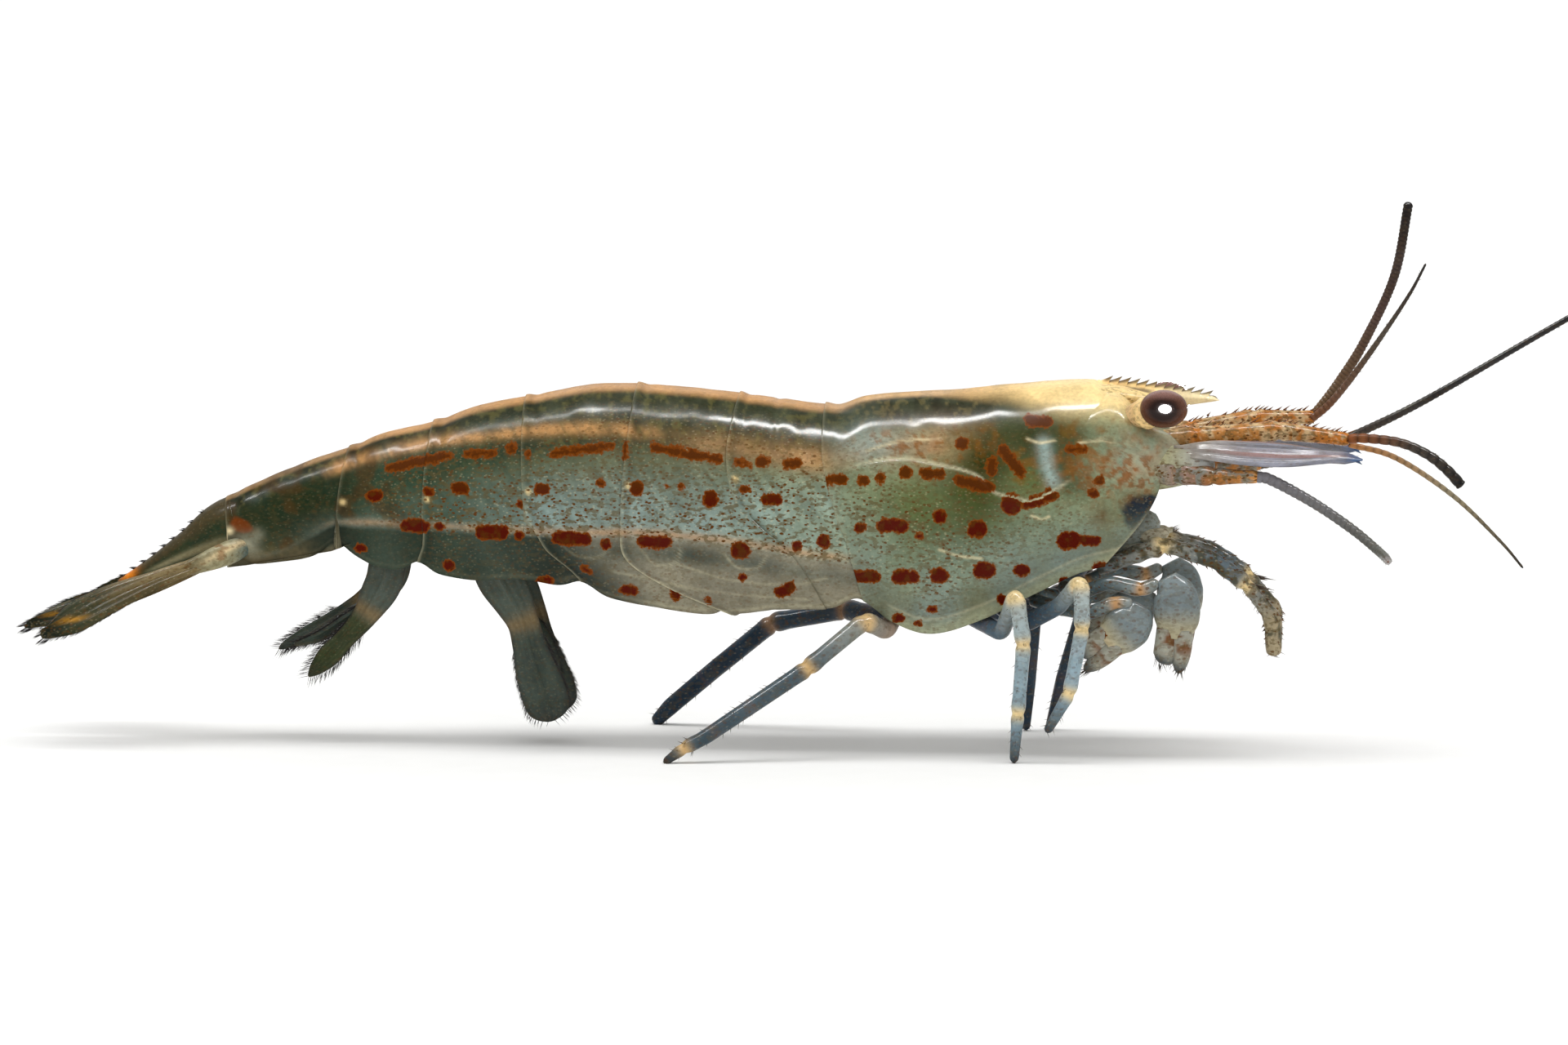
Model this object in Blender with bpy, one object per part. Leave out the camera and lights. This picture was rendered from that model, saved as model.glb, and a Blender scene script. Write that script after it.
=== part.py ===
"""A female freshwater shrimp, life size, standing still on its walking legs.

Run with: blender --background --python part.py

Lengths are in millimetres while the animal is drawn, with the head towards +X, its left side
towards +Y and the floor at Z = 0. They are turned into metres when a mesh is made.
"""
import math

import bmesh
import bpy
from mathutils import Vector

MM = 0.001

# ---------------------------------------------------------------- driving sizes (mm)
SEAM = 0.30            # clear gap between two neighbouring pieces
SHELL = 0.50           # thickness of the shell walls that hang beside the belly
THIN = 0.25            # least half thickness of any leg, feeler or blade
ARCH_STEPS = 5         # ring steps from the back line to the widest height
SKIRT_STEPS = 5        # ring steps from the widest height to the lower edge
WIDEST_AT = 0.45       # height of the widest place, as a share of the body's depth
FLOOR = 0.0

# The trunk from tail to head: station X, back line, lower edge, half width, half width below.
TRUNK = [
    (-23.2, 10.00, 7.10, 1.30, 1.00),
    (-20.0, 11.40, 7.55, 1.60, 1.25),
    (-18.0, 12.10, 7.90, 1.80, 1.50),
    (-16.5, 12.70, 7.35, 2.10, 1.90),
    (-14.3, 13.25, 7.15, 2.50, 2.20),
    (-12.5, 13.90, 6.90, 2.75, 2.40),
    (-10.4, 14.30, 6.95, 2.95, 2.55),
    (-8.0, 14.75, 6.50, 3.15, 2.65),
    (-5.6, 14.80, 6.00, 3.30, 2.75),
    (-2.6, 14.55, 5.62, 3.35, 2.80),
    (0.0, 14.25, 5.85, 3.35, 2.80),
    (2.2, 14.02, 5.95, 3.40, 2.85),
    (3.3, 14.35, 6.35, 3.50, 2.90),
    (4.6, 14.50, 5.45, 3.60, 2.95),
    (6.2, 14.60, 4.95, 3.70, 3.00),
    (8.4, 14.80, 5.60, 3.65, 3.05),
    (10.4, 15.00, 6.60, 3.50, 2.95),
    (12.4, 15.10, 7.50, 3.20, 2.70),
    (15.8, 15.00, 8.20, 2.55, 2.30),
]

# The underside of the flesh between the shell walls: station X, height.
BELLY = [(-23.2, 7.10), (-18.5, 7.95), (-16.5, 8.70), (-13.0, 9.00), (6.0, 8.80), (11.5, 8.90), (15.8, 9.90)]

# Seams between the shell plates, each from the back line down: height, X.
FRONT_MARGIN = [(15.1, 13.3), (13.6, 14.0), (12.2, 15.2), (11.0, 15.6), (9.6, 14.9), (7.8, 13.4)]
SEAM_HEAD_1 = [(14.1, 1.9), (12.0, 2.0), (9.0, 2.9), (6.5, 3.6), (5.4, 4.0)]
SEAM_1_2 = [(14.5, -1.6), (12.0, -1.9), (10.0, -1.2), (8.0, 0.8), (5.7, 2.2)]
SEAM_2_3 = [(14.8, -5.8), (9.0, -6.2), (7.8, -5.9), (6.7, -4.2), (5.6, -1.6)]
SEAM_3_4 = [(14.4, -10.4), (10.0, -10.1), (8.4, -9.4), (7.2, -8.4), (6.3, -7.7)]
SEAM_4_5 = [(13.3, -14.2), (10.0, -14.4), (8.2, -14.4), (7.0, -14.7)]
SEAM_5_6 = [(12.2, -17.7), (10.0, -18.0), (7.9, -18.2)]
TAIL_END = [(10.2, -22.9), (7.2, -22.4)]

EYE_CENTRE = (15.56, 2.65, 14.12)
EYE_RADII = (0.97, 0.86, 0.77)


# ---------------------------------------------------------------- materials
COLOURS = {
    "carapace_shell": ((0.27, 0.30, 0.20), 0.22),
    "abdomen_shell": ((0.22, 0.25, 0.19), 0.22),
    "tail_shell": ((0.12, 0.13, 0.08), 0.25),
    "rostrum_gold": ((0.62, 0.45, 0.22), 0.30),
    "eye_cornea": ((0.035, 0.015, 0.012), 0.06),
    "eyestalk_cream": ((0.55, 0.48, 0.36), 0.30),
    "feeler_brown": ((0.10, 0.08, 0.06), 0.40),
    "peduncle_amber": ((0.45, 0.24, 0.08), 0.35),
    "scale_lilac": ((0.32, 0.32, 0.38), 0.25),
    "limb_slate": ((0.24, 0.31, 0.36), 0.25),
    "swimmeret_grey": ((0.08, 0.10, 0.08), 0.35),
    "underside_cream": ((0.36, 0.36, 0.28), 0.40),
}


def make_material(name):
    """One Principled material for each kind of surface."""
    colour, roughness = COLOURS[name]
    material = bpy.data.materials.get(name) or bpy.data.materials.new(name)
    material.use_nodes = True
    shader = material.node_tree.nodes["Principled BSDF"]
    shader.inputs["Base Color"].default_value = (*colour, 1.0)
    shader.inputs["Roughness"].default_value = roughness
    shader.inputs["Metallic"].default_value = 0.0
    return material


# ---------------------------------------------------------------- reading the curves
def smooth_step(rows, station):
    """Read every column of a sorted table at one station, along a smooth curve."""
    rows = sorted(rows)
    station = min(max(station, rows[0][0]), rows[-1][0])
    at = max(index for index in range(len(rows) - 1) if rows[index][0] <= station or index == 0)
    start, end = rows[at], rows[at + 1]
    before, after = rows[max(at - 1, 0)], rows[min(at + 2, len(rows) - 1)]
    span = end[0] - start[0]
    t = (station - start[0]) / span
    values = []
    for column in range(1, len(start)):
        slope_in = (end[column] - before[column]) / (end[0] - before[0]) * span
        slope_out = (after[column] - start[column]) / (after[0] - start[0]) * span
        values.append((2 * t**3 - 3 * t**2 + 1) * start[column] + (t**3 - 2 * t**2 + t) * slope_in
                      + (3 * t**2 - 2 * t**3) * end[column] + (t**3 - t**2) * slope_out)
    return values


def straight(rows, station):
    """Read one height on a line through a sorted table."""
    rows = sorted(rows)
    station = min(max(station, rows[0][0]), rows[-1][0])
    for (start, low), (end, high) in zip(rows, rows[1:]):
        if station <= end:
            return low + (high - low) * (station - start) / (end - start)
    return rows[-1][1]


def sample_path(points, count):
    """Points spaced evenly in number along a smooth curve through a few given ones."""
    table = [(index, *point) for index, point in enumerate(points)]
    last = len(points) - 1
    return [Vector(smooth_step(table, last * step / (count - 1))) for step in range(count)]


def soften_corners(points, sizes, reach):
    """Replace each inner corner of a limb by two rings, so that it bends instead of folding."""
    path, widths = [Vector(points[0])], [sizes[0]]
    for before, corner, after, size in zip(points, points[1:], points[2:], sizes[1:]):
        before, corner, after = Vector(before), Vector(corner), Vector(after)
        for towards in (before, after):
            arm = towards - corner
            path.append(corner + arm.normalized() * min(reach, 0.4 * arm.length))
            widths.append(size)
    path.append(Vector(points[-1]))
    widths.append(sizes[-1])
    return path, widths


# ---------------------------------------------------------------- building meshes
def finish_object(bm, name, material_name, smooth_angle=50.0):
    """Turn drawn millimetres into a named object in metres."""
    bmesh.ops.recalc_face_normals(bm, faces=bm.faces)
    bmesh.ops.scale(bm, vec=(MM, MM, MM), verts=bm.verts)
    mesh = bpy.data.meshes.new(name)
    bm.to_mesh(mesh)
    bm.free()
    mesh.shade_smooth()
    mesh.set_sharp_from_angle(angle=math.radians(smooth_angle))
    mesh.materials.append(make_material(material_name))
    part = bpy.data.objects.new(name, mesh)
    bpy.context.collection.objects.link(part)
    return part


def add_ring(bm, points):
    """One closed loop of vertices and the edges between them."""
    verts = [bm.verts.new(point) for point in points]
    edges = [bm.edges.new((verts[index - 1], verts[index])) for index in range(len(verts))]
    return verts, edges


def bridge_rings(bm, rings):
    """Join a row of rings into one closed solid."""
    loops = [add_ring(bm, ring) for ring in rings]
    for (_, first), (_, second) in zip(loops, loops[1:]):
        bmesh.ops.bridge_loops(bm, edges=first + second)
    bm.faces.new(loops[0][0])
    end = bm.faces.new(loops[-1][0])
    return loops[-1][0], end


def ring_around(centre, along, wide_axis, half_width, half_thickness, sides):
    """An ellipse of points square to the direction of the limb."""
    along = along.normalized()
    wide = (wide_axis - along * wide_axis.dot(along)).normalized()
    thick = along.cross(wide)
    turns = [2 * math.pi * (side + 0.5) / sides for side in range(sides)]
    return [centre + wide * half_width * math.cos(turn) + thick * half_thickness * math.sin(turn)
            for turn in turns]


def tube_rings(path, sizes, wide_axis, sides):
    """Rings along a path, where each size is (half width, half thickness)."""
    rings = []
    for index, centre in enumerate(path):
        before = path[max(index - 1, 0)]
        after = path[min(index + 1, len(path) - 1)]
        rings.append(ring_around(centre, after - before, wide_axis, *sizes[index], sides))
    return rings


def pair(size):
    """A round section may be given by one number."""
    return size if isinstance(size, tuple) else (size, size)


def mirrored(point, side):
    """The same place on the animal's left (+1) or right (-1)."""
    return (point[0], point[1] * side, point[2])


# ---------------------------------------------------------------- trunk plates
def trunk_point(station, step):
    """A point of the right-hand outer surface: step 0 is the back line, the last is the lower edge."""
    top, edge, half_width, half_edge = smooth_step(TRUNK, station)
    middle = edge + WIDEST_AT * (top - edge)
    if step <= ARCH_STEPS:
        turn = 0.5 * math.pi * step / ARCH_STEPS
        return half_width * math.sin(turn), middle + (top - middle) * math.cos(turn)
    drop = (step - ARCH_STEPS) / SKIRT_STEPS
    return half_width - (half_width - half_edge) * drop**1.6, middle - (middle - edge) * drop


def seam_point(rear_seam, front_seam, along, step):
    """Where a plate's grid line crosses: `along` runs from 0 at its rear seam to 1 at its front."""
    station = 0.5 * (rear_seam[0][1] + front_seam[0][1])
    for _ in range(6):
        _, height = trunk_point(station, step)
        rear = straight(rear_seam, height) + 0.5 * SEAM
        front = straight(front_seam, height) - 0.5 * SEAM
        station = rear + (front - rear) * along
    return station


def plate_section(rear_seam, front_seam, along):
    """Outer and inner points of one section, from the left lower edge over the back to the right."""
    outer, inner = [], []
    last = ARCH_STEPS + SKIRT_STEPS
    for step in range(-last, last + 1):
        side = 1.0 if step < 0 else -1.0
        station = seam_point(rear_seam, front_seam, along, abs(step))
        breadth, height = trunk_point(station, abs(step))
        belly = max(straight(BELLY, station), trunk_point(station, last)[1] + 0.02)
        half_width = smooth_step(TRUNK, station)[2]
        outer.append((station, side * breadth, height))
        inner.append((station, side * breadth * (1 - SHELL / half_width), min(height, belly)))
    return outer, inner


def make_plate(name, material_name, rear_seam, front_seam, intervals):
    """A shell plate with the flesh under its back and a wall hanging down on each side."""
    bm = bmesh.new()
    sections = []
    for index in range(intervals + 1):
        outer, inner = plate_section(rear_seam, front_seam, index / intervals)
        ring = outer + inner[::-1]
        sections.append(add_ring(bm, ring))
    for (_, first), (_, second) in zip(sections, sections[1:]):
        bmesh.ops.bridge_loops(bm, edges=first + second)
    count = 2 * (ARCH_STEPS + SKIRT_STEPS) + 1
    for verts, _ in (sections[0], sections[-1]):
        for index in range(count - 1):
            inner_here, inner_next = verts[2 * count - 1 - index], verts[2 * count - 2 - index]
            bm.faces.new((verts[index], verts[index + 1], inner_next, inner_here))
    return finish_object(bm, name, material_name)


def make_trunk():
    """The head shield and six tail plates, divided by thin curved seams."""
    seams = [FRONT_MARGIN, SEAM_HEAD_1, SEAM_1_2, SEAM_2_3, SEAM_3_4, SEAM_4_5, SEAM_5_6, TAIL_END]
    make_plate("carapace", "carapace_shell", seams[1], seams[0], 9)
    for number in range(1, 7):
        make_plate(f"abdomen_{number}", "abdomen_shell", seams[number + 1], seams[number], 3)


# ---------------------------------------------------------------- limbs in general
def make_limb(name, material_name, points, sizes, side=-1, wide_axis=(0, 1, 0), sides=7, reach=0.45):
    """A jointed limb: straight lengths with short bends at the joints."""
    points = [mirrored(point, side) for point in points]
    path, sizes = soften_corners(points, [pair(size) for size in sizes], reach)
    bm = bmesh.new()
    bridge_rings(bm, tube_rings(path, sizes, Vector(mirrored(wide_axis, side)), sides))
    return finish_object(bm, name, material_name)


def make_feeler(name, points, thick_start, thick_end, side, rings, wide_axis=(0, 1, 0)):
    """A feeler that tapers along a smooth curve."""
    path = sample_path([mirrored(point, side) for point in points], rings)
    sizes = []
    for index in range(rings):
        radius = thick_start + (thick_end - thick_start) * index / (rings - 1)
        sizes.append((max(radius, THIN), max(radius, THIN)))
    bm = bmesh.new()
    bridge_rings(bm, tube_rings(path, sizes, Vector(wide_axis), 6))
    return finish_object(bm, name, "feeler_brown")


def make_blade(name, material_name, points, half_widths, wide_axis, side=-1, rings=7, thick=0.27):
    """A leaf: a flat tube with a rounded outline along a smooth curve."""
    path = sample_path([mirrored(point, side) for point in points], rings)
    table = [(index, width) for index, width in enumerate(half_widths)]
    last = len(half_widths) - 1
    sizes = [(smooth_step(table, last * index / (rings - 1))[0], thick) for index in range(rings)]
    bm = bmesh.new()
    bridge_rings(bm, tube_rings(path, sizes, Vector(mirrored(wide_axis, side)), 8))
    return finish_object(bm, name, material_name)


def make_claw(name, points, sizes, spread, side):
    """A small claw: a palm, whose end face divides into two fingers."""
    points = [Vector(mirrored(point, side)) for point in points]
    palm, tip = points[:-1], points[-1]
    bm = bmesh.new()
    rings = tube_rings(palm, sizes, Vector((1, 0, 0)), 8)
    loops = [add_ring(bm, ring) for ring in rings]
    for (_, first), (_, second) in zip(loops, loops[1:]):
        bmesh.ops.bridge_loops(bm, edges=first + second)
    bm.faces.new(loops[0][0])
    end = loops[-1][0]
    halves = [bm.faces.new(end[6:] + end[:3]), bm.faces.new(end[2:7])]
    bmesh.ops.inset_individual(bm, faces=halves, thickness=0.07)
    across = (rings[-1][0] - rings[-1][4]).normalized()
    for share in (0.5, 1.0):
        grown = bmesh.ops.extrude_discrete_faces(bm, faces=halves)
        halves = grown["faces"]
        for face, way in zip(halves, (1, -1)):
            step = (tip - palm[-1]) * 0.5 + across * way * spread * (1.5 - share)
            centre = face.calc_center_median()
            for vert in face.verts:
                vert.co = centre + (vert.co - centre) * 0.82 + step
    return finish_object(bm, name, "limb_slate")


# ---------------------------------------------------------------- head
def make_rostrum():
    """The toothed beak between the eyes, cut from its side outline."""
    start, tip_x, teeth, half_thickness = 13.6, 17.58, 8, 0.27
    top_start, top_end, under_start, tooth_height = 14.90, 14.50, 13.85, 0.20
    pitch = (tip_x - start) / (teeth + 0.5)
    outline = [(start, under_start), (start, top_start)]
    for tooth in range(teeth):
        base = start + pitch * tooth
        height = top_start + (top_end - top_start) * (base - start) / (tip_x - start)
        outline.append((base + 0.75 * pitch, height + tooth_height))
        outline.append((base + 0.95 * pitch, height - 0.02))
    outline += [(tip_x, 14.42), (tip_x - 0.5, 14.22), (tip_x - 1.4, 14.02)]
    bm = bmesh.new()
    side_face = bm.faces.new([bm.verts.new((x, -half_thickness, z)) for x, z in outline])
    grown = bmesh.ops.extrude_face_region(bm, geom=[side_face])
    moved = [item for item in grown["geom"] if isinstance(item, bmesh.types.BMVert)]
    bmesh.ops.translate(bm, verts=moved, vec=(0, 2 * half_thickness, 0))
    return finish_object(bm, "rostrum", "rostrum_gold", 30.0)


def make_eye(side, label):
    """The dark eye and the short stalk that carries it."""
    centre = Vector(mirrored(EYE_CENTRE, side))
    bm = bmesh.new()
    bmesh.ops.create_uvsphere(bm, u_segments=14, v_segments=8, radius=1.0)
    bmesh.ops.scale(bm, vec=EYE_RADII, verts=bm.verts)
    bmesh.ops.translate(bm, vec=centre, verts=bm.verts)
    finish_object(bm, f"eye_{label}", "eye_cornea", 180.0)
    root = Vector(mirrored((13.95, 1.35, 13.65), side))
    reach = (centre - root).normalized()
    end = centre - reach * (max(EYE_RADII) + 0.5 * SEAM)
    bm = bmesh.new()
    path = [root, root.lerp(end, 0.5), end]
    bridge_rings(bm, tube_rings(path, [(0.42, 0.42), (0.46, 0.46), (0.50, 0.50)], Vector((0, 0, 1)), 8))
    finish_object(bm, f"eyestalk_{label}", "eyestalk_cream")


def make_antennules():
    """The upper feelers: a three-jointed base on each side, carrying two branches."""
    right_base = [(13.95, 0.80, 12.85), (17.0, 0.95, 13.10), (20.2, 1.05, 13.15), (23.0, 1.10, 12.80)]
    left_base = [(13.95, 0.80, 12.85), (16.6, 0.95, 13.20), (19.2, 1.00, 13.45), (21.5, 1.02, 13.50)]
    sizes = [(0.45, 0.50), (0.50, 0.52), (0.42, 0.45), (0.34, 0.36)]
    make_limb("antennule_base_R", "peduncle_amber", right_base, sizes, -1, reach=0.2)
    make_limb("antennule_base_L", "peduncle_amber", left_base, sizes, 1, reach=0.2)
    outer_right = [(23.35, 1.50, 12.95), (25.0, 1.60, 12.75), (26.1, 1.65, 12.3), (26.9, 1.68, 11.7),
                   (27.6, 1.70, 10.95)]
    inner_right = [(23.35, 0.75, 12.55), (24.9, 0.75, 12.05), (27.2, 0.85, 10.55), (29.1, 1.0, 8.75),
                   (30.1, 1.1, 7.60)]
    outer_left = [(21.75, 1.35, 13.75), (22.7, 1.40, 15.1), (23.6, 1.45, 16.6), (24.8, 1.5, 19.3),
                  (25.4, 1.55, 22.4)]
    inner_left = [(21.85, 0.62, 13.75), (23.1, 0.62, 15.2), (24.3, 0.6, 16.9), (25.4, 0.6, 18.6),
                  (26.1, 0.6, 19.9)]
    make_feeler("antennule_outer_R", outer_right, 0.26, THIN, -1, 8)
    make_feeler("antennule_inner_R", inner_right, THIN, THIN, -1, 9)
    make_feeler("antennule_outer_L", outer_left, 0.26, THIN, 1, 9)
    make_feeler("antennule_inner_L", inner_left, THIN, THIN, 1, 8)


def make_antennae():
    """The long lower feelers, each with its base, its leaf-shaped scale and two lengths of whip."""
    base = [(15.05, 1.80, 11.55), (16.2, 2.15, 11.50), (17.6, 2.55, 11.40), (19.4, 2.80, 11.42)]
    scale = [(16.9, 2.10, 12.45), (18.5, 2.35, 12.35), (20.8, 2.50, 12.25), (22.6, 2.55, 12.22),
             (23.6, 2.60, 12.20)]
    for side, label in ((-1, "R"), (1, "L")):
        make_limb(f"antenna_base_{label}", "peduncle_amber", base, [0.62, 0.50, 0.32, 0.30], side, reach=0.3)
        make_blade(f"antenna_scale_{label}", "scale_lilac", scale, [0.35, 0.70, 0.80, 0.55, 0.25],
                   (0, 0.84, -0.54), side, 7, THIN)
    near_whip = [(19.72, 2.82, 11.38), (21.6, 2.95, 10.40), (23.2, 3.30, 9.35), (24.3, 4.60, 8.55),
                 (24.5, 8.50, 8.70), (24.45, 13.0, 9.15)]
    near_tip = [(24.44, 13.35, 9.18), (24.38, 18.0, 9.65), (24.33, 23.0, 10.15), (24.3, 28.0, 10.65)]
    far_whip = [(19.72, 2.82, 11.42), (21.3, 3.60, 11.75), (23.5, 3.9, 12.70), (26.1, 4.1, 14.0),
                (30.5, 4.6, 16.55), (34.5, 5.2, 18.85)]
    far_tip = [(34.8, 5.27, 19.01), (39.0, 6.3, 21.2), (43.0, 7.7, 22.8), (47.0, 9.3, 23.9)]
    make_feeler("antenna_whip_R", near_whip, 0.26, THIN, -1, 13, (0, 0, 1))
    make_feeler("antenna_tip_R", near_tip, THIN, THIN, -1, 7, (0, 0, 1))
    make_feeler("antenna_whip_L", far_whip, 0.26, THIN, 1, 11)
    make_feeler("antenna_tip_L", far_tip, THIN, THIN, 1, 7)


# ---------------------------------------------------------------- underside and mouth
def make_underside():
    """The soft plate between the leg bases, and the folded mouthparts in front of it."""
    path = [Vector(point) for point in ((4.2, 0, 7.50), (6.5, 0, 7.42), (9.5, 0, 7.45), (12.3, 0, 7.85))]
    sizes = [(1.9, 0.75), (2.2, 0.95), (2.1, 0.95), (1.7, 0.65)]
    bm = bmesh.new()
    bridge_rings(bm, tube_rings(path, sizes, Vector((0, 1, 0)), 12))
    finish_object(bm, "thorax_underside", "underside_cream")
    path = [Vector(point) for point in ((12.75, 0, 8.45), (14.0, 0, 8.75), (15.4, 0, 9.5))]
    bm = bmesh.new()
    bridge_rings(bm, tube_rings(path, [(0.70, 0.60), (0.80, 0.75), (0.60, 0.60)], Vector((0, 1, 0)), 8))
    finish_object(bm, "mouthparts", "underside_cream")


def make_feeding_legs():
    """The third maxillipeds, held forward and bent down at the tip."""
    joints = [(12.9, 1.45, 7.55), (15.6, 1.70, 8.55), (17.6, 1.80, 7.95), (18.95, 1.82, 6.95),
              (20.0, 1.80, 5.60), (20.0, 1.78, 3.95)]
    sizes = [0.40, 0.40, 0.36, 0.34, 0.40, THIN]
    for side, label in ((-1, "R"), (1, "L")):
        make_limb(f"maxilliped_{label}", "limb_slate", joints, sizes, side, reach=0.35)


# ---------------------------------------------------------------- legs
def make_claw_legs():
    """The two front pairs of legs, which end in claws."""
    first_arm = [(11.5, 1.35, 6.75), (12.2, 2.0, 6.55), (13.4, 2.75, 7.10), (14.75, 2.95, 6.80)]
    first_claw = [(15.75, 3.0, 7.35), (16.05, 3.0, 6.75), (16.15, 3.0, 5.8), (16.05, 3.0, 4.9), (15.95, 3.0, 3.35)]
    second_arm = [(10.3, 1.35, 6.20), (11.3, 2.0, 5.95), (12.6, 3.05, 5.85), (13.7, 3.25, 6.35)]
    second_claw = [(14.75, 3.15, 6.20), (14.5, 3.15, 5.75), (14.0, 3.15, 5.2), (13.35, 3.1, 4.7), (12.2, 3.0, 3.65)]
    first_palm = [(0.40, 0.35), (0.85, 0.60), (0.97, 0.65), (0.85, 0.55)]
    second_palm = [(0.40, 0.35), (0.80, 0.55), (0.90, 0.60), (0.80, 0.50)]
    for side, label in ((-1, "R"), (1, "L")):
        make_limb(f"claw_leg_1_{label}", "limb_slate", first_arm, [0.34, 0.32, 0.32, 0.36], side, reach=0.3)
        make_limb(f"claw_leg_2_{label}", "limb_slate", second_arm, [0.34, 0.32, 0.34, 0.40], side, reach=0.3)
        make_claw(f"claw_1_{label}", first_claw, first_palm, 0.18, side)
        make_claw(f"claw_2_{label}", second_claw, second_palm, 0.15, side)


def make_walking_legs():
    """Three pairs of long legs. Five feet stand on small flats, the right third one is lifted."""
    lifted = [(8.9, 1.55, 6.05), (10.0, 2.35, 5.35), (11.4, 3.3, 6.15), (12.35, 4.45, 7.30), (12.4, 4.5, 5.40),
              (11.9, 4.75, 2.80), (11.0, 5.0, 1.30)]
    third = [(8.9, 1.55, 6.05), (10.0, 2.35, 5.35), (11.3, 3.3, 6.10), (12.15, 4.45, 7.20), (12.1, 4.7, 5.20),
             (11.2, 5.2, 2.20), (10.7, 5.5, 0.35), (10.7, 5.5, FLOOR)]
    fourth = [(6.9, 1.55, 6.05), (8.0, 1.85, 5.45), (9.1, 3.3, 5.05), (9.75, 4.45, 6.75), (10.05, 4.55, 4.75),
              (9.8, 4.85, 2.30), (9.75, 5.0, 0.35), (9.75, 5.0, FLOOR)]
    fifth_near = [(4.9, 1.50, 6.05), (4.4, 2.6, 5.00), (3.6, 3.7, 5.55), (1.35, 4.6, 3.70),
                  (-2.7, 5.9, 1.00), (-4.2, 6.3, 0.50), (-4.2, 6.3, FLOOR)]
    fifth_far = [(4.9, 1.50, 6.05), (4.4, 2.8, 4.90), (2.2, 4.3, 5.10), (-0.9, 4.9, 4.45),
                 (-3.5, 5.3, 2.30), (-5.9, 5.8, 0.50), (-5.9, 5.8, FLOOR)]
    long_sizes = [0.45, 0.40, 0.36, 0.38, 0.38, 0.36, 0.28, 0.27]
    back_sizes = [0.42, 0.38, 0.36, 0.34, 0.30, 0.27, 0.27]
    make_limb("walking_leg_3_R", "limb_slate", lifted, long_sizes[:6] + [THIN], -1)
    make_limb("walking_leg_3_L", "limb_slate", third, long_sizes, 1)
    make_limb("walking_leg_4_R", "limb_slate", fourth, long_sizes, -1)
    make_limb("walking_leg_4_L", "limb_slate", fourth, long_sizes, 1)
    make_limb("walking_leg_5_R", "limb_slate", fifth_near, back_sizes, -1)
    make_limb("walking_leg_5_L", "limb_slate", fifth_far, back_sizes, 1)


# ---------------------------------------------------------------- swimmerets and tail fan
def make_swimmerets():
    """Five pairs of leaf-shaped swimming legs. The first three pairs are folded up under the belly."""
    for number, root_x in ((1, -1.3), (2, -5.0), (3, -8.9)):
        folded = [(root_x, 1.25, 8.65), (root_x + 0.05, 1.3, 7.75), (root_x + 0.9, 1.3, 7.15),
                  (root_x + 2.6, 1.25, 7.0)]
        for side, label in ((-1, "R"), (1, "L")):
            make_blade(f"swimmeret_{number}_{label}", "swimmeret_grey", folded, [0.40, 0.42, 0.50, 0.25],
                       (0, 1, 0), side, 6)
    fourth = [(-12.2, 1.25, 8.65), (-11.7, 1.3, 7.20), (-10.8, 1.35, 5.20), (-10.2, 1.35, 3.20),
              (-9.9, 1.3, 0.95)]
    fifth_near = [(-16.2, 0.8, 8.15), (-16.3, 0.8, 7.2), (-16.8, 1.0, 5.9), (-18.0, 1.2, 4.4), (-19.4, 1.4, 2.8)]
    fifth_far = [(-16.2, 0.8, 8.15), (-16.3, 0.8, 7.2), (-17.2, 1.0, 5.8), (-19.2, 1.2, 4.6), (-21.2, 1.4, 3.5)]
    fourth_widths = [0.90, 0.95, 0.78, 1.15, 0.45]
    fifth_widths = [0.70, 0.80, 0.45, 0.50, 0.25]
    for side, label in ((-1, "R"), (1, "L")):
        make_blade(f"swimmeret_4_{label}", "swimmeret_grey", fourth, fourth_widths, (1, 0, 0), side, 9, 0.30)
    make_blade("swimmeret_5_R", "swimmeret_grey", fifth_near, fifth_widths, (1, 0, 0), -1, 9, 0.30)
    make_blade("swimmeret_5_L", "swimmeret_grey", fifth_far, fifth_widths, (1, 0, 0), 1, 9, 0.30)


def make_tail_fan():
    """The telson in the middle and two leaves on each side."""
    path = [Vector(point) for point in ((-23.30, 0, 9.15), (-24.5, 0, 8.35), (-26.0, 0, 7.35), (-27.7, 0, 6.35))]
    bm = bmesh.new()
    bridge_rings(bm, tube_rings(path, [(1.05, 0.70), (1.00, 0.42), (0.75, 0.32), (0.40, THIN)],
                                Vector((0, 1, 0)), 10))
    finish_object(bm, "telson", "tail_shell")
    inner = [(-22.95, 1.05, 7.95), (-25.2, 1.40, 7.00), (-28.0, 1.55, 5.85), (-30.2, 1.5, 5.15), (-31.6, 1.4, 4.55)]
    outer = [(-22.65, 1.95, 7.75), (-24.2, 2.55, 7.30), (-26.4, 3.10, 6.50), (-28.6, 3.3, 5.40), (-30.4, 3.3, 4.40)]
    for side, label in ((-1, "R"), (1, "L")):
        make_blade(f"uropod_inner_{label}", "tail_shell", inner, [0.40, 0.62, 0.72, 0.60, 0.28],
                   (0, 0.96, -0.28), side, 8)
        make_blade(f"uropod_outer_{label}", "tail_shell", outer, [0.50, 0.72, 0.85, 0.78, 0.35],
                   (0, 0.85, -0.53), side, 8)


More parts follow.
